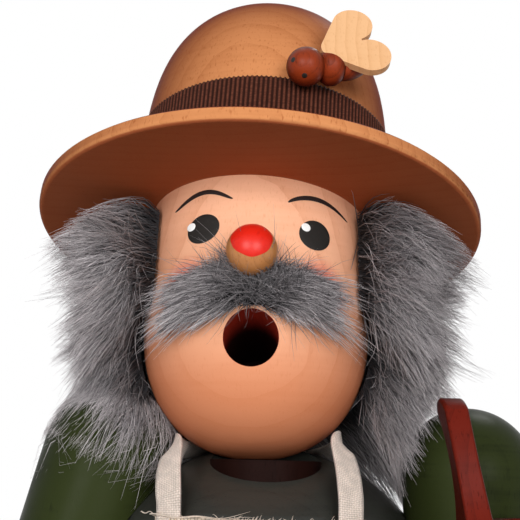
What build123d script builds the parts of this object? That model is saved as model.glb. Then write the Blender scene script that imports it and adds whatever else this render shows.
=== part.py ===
from build123d import *
from math import acos, asin, atan2, cos, degrees, hypot, pi, radians, sin, sqrt, tan
import os

# An incense smoker in the shape of a bearded beekeeper, about 300 mm tall.
# Millimetres, +Z up, the figure looks towards -Y, origin at the centre of the underside.
# The upper half lifts off the legs to reach the incense plate.

# Fits shared by every glued, turned or loose joint
glue_gap = 0.05
dowel_gap = 0.05
soft_gap = 0.3
slip_gap = 0.25
overrun = 2.0

# Standing half: base, boots, legs and hips
base_radius = 47.0
base_height = 11.0
base_edge_round = 3.2
boot_length = 44.0
boot_width = 25.0
boot_height = 22.0
boot_toe_height = 13.5
boot_toe_round = 6.0
boot_heel_back = 14.0
boot_shaft_radius = 12.2
boot_toe_turn = 8.0
leg_radius = 14.2
leg_height = 33.0
leg_offset = 16.8
leg_dowel_radius = 2.5
leg_dowel_depth = 8.0
hip_radius = 34.0
hip_height = 30.0
hip_edge_round = 6.0
spigot_height = 8.0
draught_hole_radius = 3.3
draught_hole_back = 20.0
plate_radius = 13.0
plate_thickness = 0.8
plate_rim_height = 2.2
plate_recess_depth = 0.5
nail_radius = 0.7
nail_head_radius = 1.5
nail_head_height = 0.7
nail_length = 7.0

# Lifting half: the hollow body
torso_radius = 35.0
torso_bore_radius = 26.0
torso_bore_height = 70.0
shoulder_dome_radius = 45.0
shoulder_dome_top = 184.5
shoulder_edge_round = 8.0

# Neck: an upright collar let into the front of the shoulder dome
neck_ring_radius = 12.5
neck_ring_height = 7.0
neck_ring_x = 0.5
neck_ring_forward = 12.6
neck_ring_drop = 3.1

# Head: its backward tilt and the egg-shaped profile along its axis
brim_centre_x = -2.5
head_sink = 0.23
head_tilt = 13.65
hat_lean = 2.18
head_radius = 26.54
head_straight_depth = 25.42
head_depth = 57.52
head_depth_power_share = 0.81
head_width_power_share = 0.92
head_profile_steps = 12
chin_flat_radius = 1.2
smoke_bore_radius = 4.0
smoke_bore_forward = 7.0
mouth_radius = 5.9
mouth_depth = 38.3
mouth_turn = -1.4
mouth_drill_past_axis = 7.0
nose_radius = 5.55
nose_depth = 20.9
nose_turn = -1.6
nose_stand_off = 4.1
nose_peg_radius = 2.1
nose_peg_length = 6.0

# Fur pieces
hair_outer_radius = 44.0
hair_top_radius = 40.0
hair_low_radius = 36.0
hair_top_depth = 4.6
hair_belly_depth = 24.0
hair_low_depth = 46.0
hair_face_half_angle = 63.0
moustache_outer_radius = 32.5
moustache_half_width = 21.6
moustache_top_depth = 25.0
moustache_low_depth = 33.2
moustache_end_top_depth = 32.0
moustache_end_low_depth = 40.0

# Hat: brim, crown, ribbon and dowel
brim_radius = 54.0
brim_rim_thickness = 3.36
brim_rim_round = 1.1
brim_flat_radius = 27.6
brim_top_rise = 4.6
brim_top_sag = 1.2
crown_radius = 31.54
crown_height = 61.08
crown_height_power_share = 4.14
crown_width_power_share = 2.18
crown_profile_steps = 12
ribbon_thickness = 0.55
ribbon_top = 23.1
ribbon_foot = 5.2
hat_dowel_radius = 4.0
hat_dowel_up = 14.0
hat_dowel_down = 12.0

# Bee on the hat ribbon
bee_angle = 14.2
bee_height = 24.0
bee_rise = 12.0
bee_head_radius = 4.5
bee_sink = 0.25
bee_thorax_radius = 4.3
bee_thorax_start = 3.5
bee_thorax_length = 5.0
bee_tail_length = 7.0
bee_tail_radius = 3.1
bee_tail_tip_radius = 0.9
bee_tail_swell_share = 0.86
bee_tail_swell_place_share = 0.42
bee_core_radius = 0.8
bee_core_back = 2.5
wing_lobe_radius = 4.67
wing_lobe_offset = 4.93
wing_lobe_distance = 11.14
wing_thickness = 1.8
wing_tip_x = 11.43
wing_tip_front = 37.06
wing_tip_z = 27.05
wing_turn = 3.1
wing_lie_back = 5.9
wing_spin = 26.2
wing_tip_round = 3.0
wing_pin_radius = 0.45
wing_pin_in = 3.0
wing_pin_cover = 0.6
wing_pin_from_tip = 3.0

# Arms and hands
shoulder_forward = 8.0
right_shoulder_x = -35.3
right_shoulder_z = 182.0
right_arm_splay = 16.7
right_arm_swing = 3.0
arm_radius = 15.3
wrist_radius = 11.6
right_arm_length = 68.0
right_hand_radius = 10.2
right_hand_length = 15.0
right_hand_foot_share = 0.8
right_hand_swell_share = 0.3
thumb_radius = 3.6
thumb_length = 9.0
thumb_splay = 38.0
thumb_out_share = 0.55
thumb_down_share = 0.25
left_shoulder_x = 46.9
left_shoulder_z = 179.0
elbow_x = 48.5
elbow_y = -5.0
elbow_z = 124.5
elbow_radius = 13.3
left_wrist_radius = 10.0
left_hand_radius = 12.3
left_hand_rise = 1.0
left_wrist_share = 0.68
left_arm_length_share = 0.86
left_thumb_foot_share = 0.3
left_thumb_back_share = 0.2
left_thumb_out_share = 1.05
left_thumb_front_share = 0.55
left_thumb_rise_share = 0.3
arm_dowel_radius = 2.0
arm_dowel_length = 16.0
arm_dowel_drop_share = 0.15
hand_dowel_length = 12.0
elbow_dowel_start_share = 0.02
elbow_dowel_end_share = 0.44

# Honey pail with its tall handle
pail_x = 59.0
pail_y = -42.0
pail_foot_z = 136.0
pail_rim_z = 171.0
pail_rim_radius = 15.0
pail_foot_radius = 13.2
pail_belly_radius = 15.6
pail_belly_share = 0.45
pail_wall = 2.3
pail_floor = 3.2
pail_hoop_width = 2.4
pail_hoop_stand = 0.5
pail_hoop_shares = (0.2, 0.72)
handle_top_z = 194.3
handle_foot_z = 150.0
handle_thickness = 4.8
handle_foot_outer_x = 38.9
handle_top_lean = 4.6
handle_mid_lean = 1.6
handle_mid_z = 181.0
handle_foot_width = 11.2
handle_waist_width = 6.8
handle_waist_z = 180.0
handle_top_width = 9.6
handle_edge_round = 0.7

# Linen apron with its tapes
linen_thickness = 0.8
bib_half_angle = 37.8
bib_top_z = 170.0
waist_z = 120.0
skirt_hem_z = 52.0
skirt_half_angle = 58.0
skirt_hem_radius = 41.5
skirt_folds = 5
skirt_hem_fold = 2.4
skirt_waist_fold = 0.12
tape_width = 6.0
tape_thickness = 0.9
# The neck tape's path in shares of the torso's radius, the height counted from the top of the shoulders,
# and how flat it lies: 1 on the shoulders, 0 standing on edge beside the neck
neck_tape_path_shares = (
    (-0.546, -0.869, -0.4, 0),
    (-0.549, -0.854, -0.334, 0.4),
    (-0.56, -0.806, -0.249, 0.75),
    (-0.569, -0.731, -0.149, 0.6),
    (-0.566, -0.6, -0.037, 0.35),
    (-0.559, -0.429, -0.02, 0.1),
    (-0.533, -0.229, -0.056, 0.22),
    (-0.531, 0.014, -0.049, 0.8),
    (-0.417, 0.28, -0.051, 1),
    (-0.214, 0.451, -0.074, 1),
    (0.0, 0.514, -0.08, 1),
    (0.214, 0.451, -0.074, 1),
    (0.386, 0.28, -0.049, 1),
    (0.486, 0.029, -0.031, 0.8),
    (0.509, -0.229, -0.009, 0.35),
    (0.486, -0.429, 0.02, 0.1),
    (0.486, -0.594, 0.003, 0.35),
    (0.511, -0.731, -0.129, 0.6),
    (0.523, -0.811, -0.249, 0.75),
    (0.526, -0.857, -0.334, 0.4),
    (0.526, -0.874, -0.4, 0),
)
bow_knot_width = 6.0
bow_knot_depth = 3.4
bow_loop_length = 15.0
bow_loop_depth = 5.0
bow_tail_length = 24.0
bow_tail_splay = 14.0
bow_tail_width_share = 0.9

# Heights that follow from the sizes above
boot_top_z = base_height + boot_height
hip_foot_z = boot_top_z + leg_height
seat_z = hip_foot_z + hip_height
spigot_radius = torso_bore_radius - slip_gap
bore_top_z = seat_z + torso_bore_height
dome_centre_z = shoulder_dome_top - shoulder_dome_radius
neck_top_z = shoulder_dome_top - neck_ring_drop
neck_foot_z = neck_top_z - neck_ring_height
linen_inner_radius = torso_radius + soft_gap
linen_outer_radius = linen_inner_radius + linen_thickness


# The head's egg shape, in its own frame, and where head and hat stand
def head_radius_at(share, offset=0.0):
    """A point (radius, -depth) of the head's lower curve; share 0 is at the cheeks, 1 at the chin."""
    angle = share * pi / 2
    depth = head_straight_depth + (head_depth - head_straight_depth) * sin(angle) ** head_depth_power_share
    radius = head_radius * cos(angle) ** head_width_power_share
    return radius + offset, -(depth + offset * sin(angle))


def head_end_share():
    """The share at which the head's curve ends, at the small flat left by the lathe's centre."""
    return acos((chin_flat_radius / head_radius) ** (1 / head_width_power_share)) / (pi / 2)


def head_curve_points(offset=0.0):
    """The points of the head's lower curve, from the cheeks to the flat under the chin."""
    step_share = head_end_share() / head_profile_steps
    return [head_radius_at(step_share * step, offset) for step in range(head_profile_steps + 1)]


def head_reach_down():
    """How far the tilted head reaches below the brim's centre."""
    tilt = radians(head_tilt)
    return max(radius * sin(tilt) - height * cos(tilt) for radius, height in head_curve_points())


brim_centre_z = neck_top_z - head_sink + head_reach_down()
head_place = Pos(brim_centre_x, 0, brim_centre_z) * Rot(-head_tilt, 0, 0)
hat_place = Pos(brim_centre_x, 0, brim_centre_z) * Rot(0, hat_lean, 0) * Rot(-head_tilt, 0, 0)


def turned(outline):
    """A closed outline of (radius, height) edges, turned once about the Z axis."""
    return revolve(Plane.XZ * make_face(outline), Axis.Z)


def rod(radius, foot, top):
    """A round rod about the Z axis between two heights."""
    return Pos(0, 0, foot) * Cylinder(radius, top - foot, align=(Align.CENTER, Align.CENTER, Align.MIN))


def peg_between(start, end, radius):
    """A round peg from one point to another."""
    way = Vector(*end) - Vector(*start)
    return Plane(origin=start, z_dir=way) * rod(radius, 0, way.length)


def point_on(start, end, share):
    """The point at a share of the way from start to end."""
    return tuple(a + (b - a) * share for a, b in zip(start, end))


# The standing half
def make_base_disc():
    """A turned disc whose upper edge is a quarter round."""
    edge_z = base_height - base_edge_round
    lower = Polyline((0, 0), (base_radius, 0), (base_radius, edge_z))
    bead = RadiusArc((base_radius, edge_z), (base_radius - base_edge_round, base_height), -base_edge_round)
    upper = Polyline((base_radius - base_edge_round, base_height), (0, base_height), (0, 0))
    disc = turned(lower + bead + upper)
    for side in (-1, 1):
        disc -= leg_dowel_hole(side, base_height - leg_dowel_depth, base_height + overrun)
    return disc


def leg_dowel_hole(side, foot, top):
    """The hole for a leg dowel, a little wider than the dowel."""
    return Pos(side * leg_offset, 0, 0) * rod(leg_dowel_radius + dowel_gap, foot, top)


def make_boot(side):
    """A boot: a long foot with a rounded upper edge, and a short round shaft above the heel."""
    plan = SlotOverall(boot_length, boot_width, rotation=90)
    foot = extrude(Pos(0, boot_heel_back - boot_length / 2) * plan, boot_toe_height)
    foot = fillet(foot.faces().sort_by(Axis.Z)[-1].edges(), boot_toe_round)
    boot = foot + rod(boot_shaft_radius, 0, boot_height)
    boot = Pos(side * leg_offset, 0, base_height) * Rot(0, 0, side * boot_toe_turn) * boot
    return boot - leg_dowel_hole(side, base_height - overrun, boot_top_z + overrun)


def make_leg(side):
    """A plain turned trouser leg with a dowel hole in each end."""
    leg = Pos(side * leg_offset, 0, 0) * rod(leg_radius, boot_top_z, hip_foot_z)
    leg -= leg_dowel_hole(side, boot_top_z - overrun, boot_top_z + leg_dowel_depth)
    return leg - leg_dowel_hole(side, hip_foot_z - leg_dowel_depth, hip_foot_z + overrun)


def make_hip_block():
    """The trouser seat with the round spigot on which the upper half slips."""
    round_z = hip_foot_z + hip_edge_round
    inner = hip_radius - hip_edge_round
    lower = Polyline((0, hip_foot_z), (inner, hip_foot_z))
    corner = RadiusArc((inner, hip_foot_z), (hip_radius, round_z), -hip_edge_round)
    spigot_z = seat_z + spigot_height
    upper = Polyline(
        (hip_radius, round_z),
        (hip_radius, seat_z),
        (spigot_radius, seat_z),
        (spigot_radius, spigot_z),
        (0, spigot_z),
        (0, hip_foot_z),
    )
    block = turned(lower + corner + upper)
    block -= rod(plate_radius + dowel_gap, spigot_z - plate_recess_depth, spigot_z + overrun)
    block -= rod(nail_radius + dowel_gap, spigot_z - nail_length - overrun, spigot_z)
    draught_hole = rod(draught_hole_radius, hip_foot_z - overrun, spigot_z + overrun)
    block -= Pos(0, draught_hole_back, 0) * draught_hole
    for side in (-1, 1):
        block -= leg_dowel_hole(side, hip_foot_z - overrun, hip_foot_z + leg_dowel_depth)
    return block


def make_leg_dowels():
    """Four dowels: base to leg through each boot, and leg to hip block."""
    dowels = []
    for side in (-1, 1):
        place = Pos(side * leg_offset, 0, 0)
        for foot, top in ((base_height, boot_top_z), (hip_foot_z, hip_foot_z)):
            dowels.append(place * rod(leg_dowel_radius, foot - leg_dowel_depth, top + leg_dowel_depth))
    return Compound(children=dowels)


def make_incense_plate():
    """A pressed metal dish with a raised rim, sunk a little into the spigot."""
    foot = seat_z + spigot_height - plate_recess_depth
    floor = foot + plate_thickness
    rim = foot + plate_rim_height
    inner = plate_radius - plate_thickness
    dish = turned(Polyline(
        (0, foot),
        (plate_radius, foot),
        (plate_radius, rim),
        (inner, rim),
        (inner, floor),
        (0, floor),
        (0, foot),
    ))
    return dish - rod(nail_radius + dowel_gap, foot - overrun, floor + overrun)


def make_plate_nail():
    """The round-headed nail through the middle of the plate."""
    head_foot = seat_z + spigot_height - plate_recess_depth + plate_thickness
    shank = rod(nail_radius, head_foot - nail_length, head_foot)
    return shank + rod(nail_head_radius, head_foot, head_foot + nail_head_height)


# The head and everything that follows its egg shape
def head_shape(top, offset=0.0):
    """The head's solid of revolution in its own frame, grown outwards by offset."""
    points = head_curve_points(offset)
    side = Line((head_radius + offset, top), points[0])
    curve = Spline(*points)
    last = points[-1]
    closing = Polyline(last, (0, last[1]), (0, top), (head_radius + offset, top))
    return turned(side + curve + closing)


def along_front(radius, start, length):
    """A rod in the head's frame that runs from the back towards the face, -Y."""
    return Pos(0, start, 0) * Rot(90, 0, 0) * rod(radius, 0, length)


def on_face(turn, depth):
    """The head's frame turned sideways about its axis and lowered to a depth below the brim."""
    return head_place * Rot(0, 0, turn) * Pos(0, 0, -depth)


def make_smoke_bore():
    """The upright passage from the hollow body through the neck ring to the mouth."""
    mouth_middle_z = brim_centre_z - mouth_depth * cos(radians(head_tilt))
    place = Pos(brim_centre_x, -smoke_bore_forward, 0)
    return place * rod(smoke_bore_radius, bore_top_z - overrun, mouth_middle_z)


def neck_seat():
    """The space of the neck ring in the shoulder dome, open upwards."""
    place = Pos(neck_ring_x, -neck_ring_forward, 0)
    return place * rod(neck_ring_radius + glue_gap, neck_foot_z - glue_gap, shoulder_dome_top + overrun)


def make_torso():
    """A turned shell with a deep bore from below and a domed top that carries the neck."""
    inner_radius = torso_radius - shoulder_edge_round
    reach = shoulder_dome_radius - shoulder_edge_round
    round_z = dome_centre_z + sqrt(reach ** 2 - inner_radius ** 2)
    meet_r = inner_radius * shoulder_dome_radius / reach
    meet_z = dome_centre_z + (round_z - dome_centre_z) * shoulder_dome_radius / reach
    walls = Polyline(
        (0, bore_top_z),
        (torso_bore_radius, bore_top_z),
        (torso_bore_radius, seat_z),
        (torso_radius, seat_z),
        (torso_radius, round_z),
    )
    corner = RadiusArc((torso_radius, round_z), (meet_r, meet_z), -shoulder_edge_round)
    dome = RadiusArc((meet_r, meet_z), (0, shoulder_dome_top), -shoulder_dome_radius)
    axis = Line((0, shoulder_dome_top), (0, bore_top_z))
    torso = turned(walls + corner + dome + axis)
    torso -= neck_seat()
    torso -= head_place * head_shape(-head_straight_depth / 2, soft_gap)
    torso -= make_smoke_bore()
    for start, end in arm_dowel_lines():
        torso -= peg_between(start, end, arm_dowel_radius + dowel_gap)
    return torso


def make_neck_ring():
    """The dark collar under the chin, hollowed a little where the head rests on it."""
    ring = Pos(neck_ring_x, -neck_ring_forward, 0) * rod(neck_ring_radius, neck_foot_z, neck_top_z)
    ring -= make_smoke_bore()
    return ring - head_place * head_shape(-head_straight_depth / 2, glue_gap)


def make_head():
    """The turned head, bored for the smoke, with the open mouth and the nose hole."""
    head = head_place * head_shape(overrun)
    head -= hat_place * rod(brim_radius, 0, crown_height)
    head -= make_smoke_bore()
    mouth = along_front(mouth_radius, mouth_drill_past_axis, hair_outer_radius)
    head -= on_face(mouth_turn, mouth_depth) * mouth
    head -= hat_place * rod(hat_dowel_radius + dowel_gap, -hat_dowel_down - dowel_gap, 0)
    hole_depth = head_radius - nose_peg_length
    nose_hole = along_front(nose_peg_radius + dowel_gap, -hole_depth, hair_outer_radius)
    return head - on_face(nose_turn, nose_depth) * nose_hole


def make_nose():
    """A round bead with a peg, flattened where it sits on the face."""
    bead = Pos(0, -head_radius - nose_stand_off, 0) * Sphere(nose_radius)
    bead -= rod(head_radius + glue_gap, -nose_radius, nose_radius)
    peg = along_front(nose_peg_radius, nose_peg_length - head_radius, nose_peg_length + nose_stand_off)
    return on_face(nose_turn, nose_depth) * (bead + peg)


def arm_clearance(grow):
    """The two shoulder shapes, grown, for fur that has to lie clear of them."""
    right = Pos(right_shoulder_x, -shoulder_forward, right_shoulder_z) * Sphere(arm_radius + grow)
    left = Pos(left_shoulder_x, -shoulder_forward, left_shoulder_z) * Sphere(arm_radius + grow)
    return right + left


def make_hair():
    """The fur strip round the back of the head, from temple to temple."""
    outline = Polyline((0, -hair_top_depth), (hair_top_radius, -hair_top_depth))
    bulge = ThreePointArc(
        (hair_top_radius, -hair_top_depth),
        (hair_outer_radius, -hair_belly_depth),
        (hair_low_radius, -hair_low_depth),
    )
    closing = Polyline((hair_low_radius, -hair_low_depth), (0, -hair_low_depth), (0, -hair_top_depth))
    fur = turned(outline + bulge + closing)
    reach = hair_outer_radius * 2
    side_x = reach * sin(radians(hair_face_half_angle))
    side_y = -reach * cos(radians(hair_face_half_angle))
    face = make_face(Polyline(
        (0, 0),
        (side_x, side_y),
        (side_x, -reach),
        (-side_x, -reach),
        (-side_x, side_y),
        (0, 0),
    ))
    fur -= Pos(0, 0, -hair_low_depth - overrun) * extrude(face, hair_low_depth + overrun)
    fur = head_place * (fur - head_shape(0, soft_gap))
    return fur - arm_clearance(soft_gap)


def make_moustache():
    """A drooping fur bar over the mouth, curved to the face."""
    end_x = moustache_half_width
    quarter_x = end_x / 2
    droop = (moustache_end_low_depth - moustache_low_depth) / 3
    upper = ThreePointArc(
        (-end_x, -moustache_end_top_depth),
        (0, -moustache_top_depth),
        (end_x, -moustache_end_top_depth),
    )
    right_end = Line((end_x, -moustache_end_top_depth), (end_x, -moustache_end_low_depth))
    right_low = Polyline(
        (end_x, -moustache_end_low_depth),
        (quarter_x, -moustache_low_depth - droop),
        (0, -moustache_low_depth),
        (-quarter_x, -moustache_low_depth - droop),
        (-end_x, -moustache_end_low_depth),
        (-end_x, -moustache_end_top_depth),
    )
    outline = Plane.XZ * make_face(upper + right_end + right_low)
    bar = extrude(outline, moustache_outer_radius)
    bar &= rod(moustache_outer_radius, -head_depth, 0)
    bar = head_place * (bar - head_shape(0, soft_gap))
    nose_space = Pos(0, -head_radius - nose_stand_off, 0) * Sphere(nose_radius + soft_gap)
    return bar - on_face(nose_turn, nose_depth) * nose_space


# The hat
def make_hat_brim():
    """A thin turned brim that droops a little towards its rounded rim."""
    rim_top_r = brim_radius - brim_rim_round
    rim_low_z = -brim_rim_thickness
    crown_edge = (crown_radius, brim_top_rise)
    under = Polyline((0, 0), (brim_flat_radius, 0), (rim_top_r, rim_low_z))
    rim_side = (brim_radius, rim_low_z + brim_rim_round)
    low_round = RadiusArc((rim_top_r, rim_low_z), rim_side, -brim_rim_round)
    corner = brim_rim_round / 2
    rim_z = rim_low_z + brim_rim_round
    rim = Polyline((brim_radius, rim_z), (brim_radius, -corner), (brim_radius - corner, 0))
    middle = ((brim_radius + crown_radius) / 2, brim_top_rise / 2 - brim_top_sag)
    top = ThreePointArc((brim_radius - corner, 0), middle, crown_edge)
    closing = Polyline(crown_edge, (0, brim_top_rise), (0, 0))
    brim = turned(under + low_round + rim + top + closing)
    brim -= rod(hat_dowel_radius + dowel_gap, -overrun, brim_top_rise + overrun)
    return hat_place * brim


def crown_point(step):
    """A point (radius, height) of the crown's curve, a super-ellipse from the brim to the top."""
    share = sin(step / crown_profile_steps * pi / 2)
    height = brim_top_rise + (crown_height - brim_top_rise) * share
    rest = max(1 - (height / crown_height) ** crown_height_power_share, 0)
    return crown_radius * rest ** (1 / crown_width_power_share), height


def make_hat_crown():
    """The tall rounded crown, turned from one block, with a dowel hole in its foot."""
    points = [crown_point(step) for step in range(crown_profile_steps + 1)]
    curve = Spline(*points, tangents=((0, 1), (-1, 0)))
    closing = Polyline(points[-1], (0, brim_top_rise), points[0])
    crown = turned(curve + closing)
    crown -= rod(hat_dowel_radius + dowel_gap, brim_top_rise - overrun, hat_dowel_up + dowel_gap)
    return hat_place * crown


def make_hat_ribbon():
    """The ribbon round the foot of the crown."""
    inner = crown_radius + glue_gap
    band = rod(inner + ribbon_thickness, ribbon_foot, ribbon_top)
    return hat_place * (band - rod(inner, ribbon_foot - overrun, ribbon_top + overrun))


def make_hat_dowel():
    """The dowel that joins head, brim and crown."""
    return hat_place * rod(hat_dowel_radius, -hat_dowel_down, hat_dowel_up)


# The bee, in a frame whose Z axis runs from its head to its tail
ribbon_outer_radius = crown_radius + glue_gap + ribbon_thickness
bee_reach = ribbon_outer_radius + bee_head_radius - bee_sink
bee_x = bee_reach * sin(radians(bee_angle))
bee_y = -bee_reach * cos(radians(bee_angle))
bee_way = (
    cos(radians(bee_angle)) * cos(radians(bee_rise)),
    sin(radians(bee_angle)) * cos(radians(bee_rise)),
    sin(radians(bee_rise)),
)
bee_frame = hat_place * Plane(origin=(bee_x, bee_y, bee_height), z_dir=bee_way).location
thorax_end = bee_thorax_start + bee_thorax_length
tail_end = thorax_end + bee_tail_length


def bee_core_hole():
    """The hole for the thin rod that the bee's pieces are threaded on."""
    return rod(bee_core_radius + dowel_gap, -bee_core_back, thorax_end + bee_tail_length / 2)


def ribbon_clearance():
    """The ribbon's outside, for cutting the bee's seat."""
    return hat_place * rod(ribbon_outer_radius + glue_gap, brim_top_rise, crown_height)


def make_bee_head():
    """The large head bead, cut flat against the thorax and seated on the ribbon."""
    bead = Sphere(bee_head_radius) - rod(bee_head_radius, bee_thorax_start, bee_head_radius + overrun)
    return bee_frame * (bead - bee_core_hole()) - ribbon_clearance()


def make_bee_thorax():
    """A thick rounded disc behind the head."""
    low = sqrt(bee_head_radius ** 2 - bee_thorax_start ** 2)
    middle = bee_thorax_start + bee_thorax_length / 2
    side = ThreePointArc((low, bee_thorax_start), (bee_thorax_radius, middle), (low, thorax_end))
    foot = Line((0, bee_thorax_start), (low, bee_thorax_start))
    closing = Polyline((low, thorax_end), (0, thorax_end), (0, bee_thorax_start))
    disc = turned(foot + side + closing)
    disc = bee_frame * (disc - bee_core_hole()) - ribbon_clearance()
    return disc - wing_frame() * wing_pocket() - wing_frame() * wing_pin_hole()


def make_bee_tail():
    """The tapered tail with a rounded tip."""
    tip_start = tail_end - bee_tail_tip_radius
    foot = Line((0, thorax_end), (bee_tail_radius, thorax_end))
    cone = ThreePointArc(
        (bee_tail_radius, thorax_end),
        (bee_tail_radius * bee_tail_swell_share, thorax_end + bee_tail_length * bee_tail_swell_place_share),
        (bee_tail_tip_radius, tip_start),
    )
    tip = RadiusArc((bee_tail_tip_radius, tip_start), (0, tail_end), -bee_tail_tip_radius)
    tail = turned(foot + cone + tip + Line((0, tail_end), (0, thorax_end)))
    tail = bee_frame * (tail - bee_core_hole()) - ribbon_clearance()
    return tail - wing_frame() * wing_pocket()


def make_bee_core():
    """The thin rod through head, thorax and tail."""
    end = thorax_end + bee_tail_length / 2 - dowel_gap
    return bee_frame * rod(bee_core_radius, dowel_gap - bee_core_back, end)


def wing_frame():
    """The wing plate's frame: X from tip to notch, Z out of the visible face."""
    facing = Rot(0, 0, wing_turn) * Rot(90 - wing_lie_back, 0, 0) * Rot(0, 0, wing_spin)
    return hat_place * Pos(wing_tip_x, -wing_tip_front, wing_tip_z) * facing


def wing_plate(thickness, foot):
    """The heart outline, two round lobes and two straight flanks, as a plate."""
    reach = hypot(wing_lobe_distance, wing_lobe_offset)
    turn = atan2(wing_lobe_offset, wing_lobe_distance) + asin(wing_lobe_radius / reach)
    flank = sqrt(reach ** 2 - wing_lobe_radius ** 2)
    side = (flank * cos(turn), flank * sin(turn))
    bulge = wing_lobe_radius * cos(pi / 4)
    upper = (wing_lobe_distance + bulge, wing_lobe_offset + bulge)
    lobe_end = (wing_lobe_distance + wing_lobe_radius, wing_lobe_offset)
    inner_x = wing_lobe_distance + wing_lobe_radius * sin(turn)
    inner = (inner_x, wing_lobe_offset - wing_lobe_radius * cos(turn))
    notch = (wing_lobe_distance, wing_lobe_offset - wing_lobe_radius)
    lines = Polyline((0, 0), side)
    lines += ThreePointArc(side, upper, lobe_end)
    lines += ThreePointArc(lobe_end, inner, notch)
    lines += Polyline(notch, (wing_lobe_distance, 0), (0, 0))
    half = make_face(lines)
    heart = half + mirror(half, Plane.XZ)
    heart = fillet(heart.vertices().sort_by(Axis.X)[0], wing_tip_round)
    return Pos(0, 0, foot) * extrude(heart, thickness)


def wing_pocket():
    """The space of the wing plate in the bodies behind it."""
    return wing_plate(wing_thickness + overrun, -wing_thickness - glue_gap)


def wing_pin_hole():
    """The blind hole for the wing pin, through the thorax and into the back of the plate."""
    foot = -wing_thickness - wing_pin_in - dowel_gap
    return Pos(wing_pin_from_tip, 0, 0) * rod(wing_pin_radius + dowel_gap, foot, dowel_gap - wing_pin_cover)


def make_bee_wings():
    """One thin heart-shaped plate for both wings."""
    plate = wing_plate(wing_thickness, -wing_thickness)
    plate = wing_frame() * (plate - wing_pin_hole())
    return plate - bee_frame * Sphere(bee_head_radius + glue_gap)


def make_wing_pin():
    """A small steel pin that holds the wings to the thorax, hidden under the plate's face."""
    shank = rod(wing_pin_radius, -wing_thickness - wing_pin_in, -wing_pin_cover)
    return wing_frame() * Pos(wing_pin_from_tip, 0, 0) * shank


# Arms and hands
right_shoulder = (right_shoulder_x, -shoulder_forward, right_shoulder_z)
left_shoulder = (left_shoulder_x, -shoulder_forward, left_shoulder_z)
elbow = (elbow_x, elbow_y, elbow_z)
right_arm_way = (
    -sin(radians(right_arm_splay)),
    -sin(radians(right_arm_swing)),
    -cos(radians(right_arm_splay)),
)
right_wrist = tuple(p + way * right_arm_length for p, way in zip(right_shoulder, right_arm_way))
left_hand = (pail_x, pail_y, elbow_z + left_hand_rise)
left_wrist = point_on(elbow, left_hand, left_wrist_share)


def arm_bar(start, end, start_radius, end_radius):
    """A tapered turned bar with a round end at the start."""
    length = (Vector(*end) - Vector(*start)).length
    dome = RadiusArc((0, -start_radius), (start_radius, 0), -start_radius)
    side = Polyline((start_radius, 0), (end_radius, length), (0, length), (0, -start_radius))
    return Plane(origin=start, z_dir=Vector(*end) - Vector(*start)) * turned(dome + side)


def torso_clearance():
    """The outside of the torso with its glue gap, for coping the arms."""
    drum = rod(torso_radius + glue_gap, seat_z, dome_centre_z + shoulder_dome_radius)
    return drum & Pos(0, 0, dome_centre_z) * Sphere(shoulder_dome_radius + glue_gap)


def arm_dowel_lines():
    """Start and end of the dowel that holds each shoulder to the torso."""
    lines = []
    for side in (-1, 1):
        height = bore_top_z - torso_bore_height * arm_dowel_drop_share
        middle = side * (torso_radius + torso_bore_radius) / 2
        end = middle + side * arm_dowel_length / 2
        lines.append(((middle, -shoulder_forward, height), (end, -shoulder_forward, height)))
    return lines


def make_arm_right():
    """The hanging arm, turned, coped to the torso."""
    arm = arm_bar(right_shoulder, right_wrist, arm_radius, wrist_radius) - torso_clearance()
    arm -= peg_between(*hand_dowel_line_right(), arm_dowel_radius + dowel_gap)
    start, end = arm_dowel_lines()[0]
    arm -= peg_between(start, end, arm_dowel_radius + dowel_gap)
    return arm - head_place * head_shape(-head_straight_depth / 2, soft_gap)


def hand_dowel_line_right():
    """Start and end of the dowel between the right wrist and hand."""
    middle = Vector(*right_wrist)
    half = Vector(*right_arm_way) * (hand_dowel_length / 2)
    return tuple(middle - half), tuple(middle + half)


def hand_dowel_line_left():
    """Start and end of the dowel between the left wrist and hand."""
    way = (Vector(*left_hand) - Vector(*elbow)).normalized()
    middle = Vector(*left_wrist)
    return tuple(middle - way * (hand_dowel_length / 2)), tuple(middle + way * (hand_dowel_length / 3))


def make_hand_right():
    """A plain rounded mitten with its thumb."""
    frame = Plane(origin=right_wrist, x_dir=(0, -1, 0), z_dir=right_arm_way)
    end = right_hand_length
    side = Polyline(
        (0, 0),
        (wrist_radius * right_hand_foot_share, 0),
        (right_hand_radius, end * right_hand_swell_share),
        (right_hand_radius, end),
    )
    tip = RadiusArc((right_hand_radius, end), (0, end + right_hand_radius), -right_hand_radius)
    palm = turned(side + tip + Line((0, end + right_hand_radius), (0, 0)))
    thumb_end = thumb_length + thumb_radius
    thumb = rod(thumb_radius, 0, thumb_end) + Pos(0, 0, thumb_end) * Sphere(thumb_radius)
    thumb_foot = Pos(right_hand_radius * thumb_out_share, 0, end * thumb_down_share)
    hand = frame * (palm + thumb_foot * Rot(0, thumb_splay, 0) * thumb)
    return hand - peg_between(*hand_dowel_line_right(), arm_dowel_radius + dowel_gap)


def make_forearm_left():
    """The forearm that reaches forward under the pail."""
    bar = arm_bar(elbow, left_wrist, elbow_radius, left_wrist_radius)
    bar -= Pos(*left_hand) * Sphere(left_hand_radius + glue_gap)
    bar -= peg_between(*hand_dowel_line_left(), arm_dowel_radius + dowel_gap)
    return bar - peg_between(*elbow_dowel_line(), arm_dowel_radius + dowel_gap)


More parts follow.
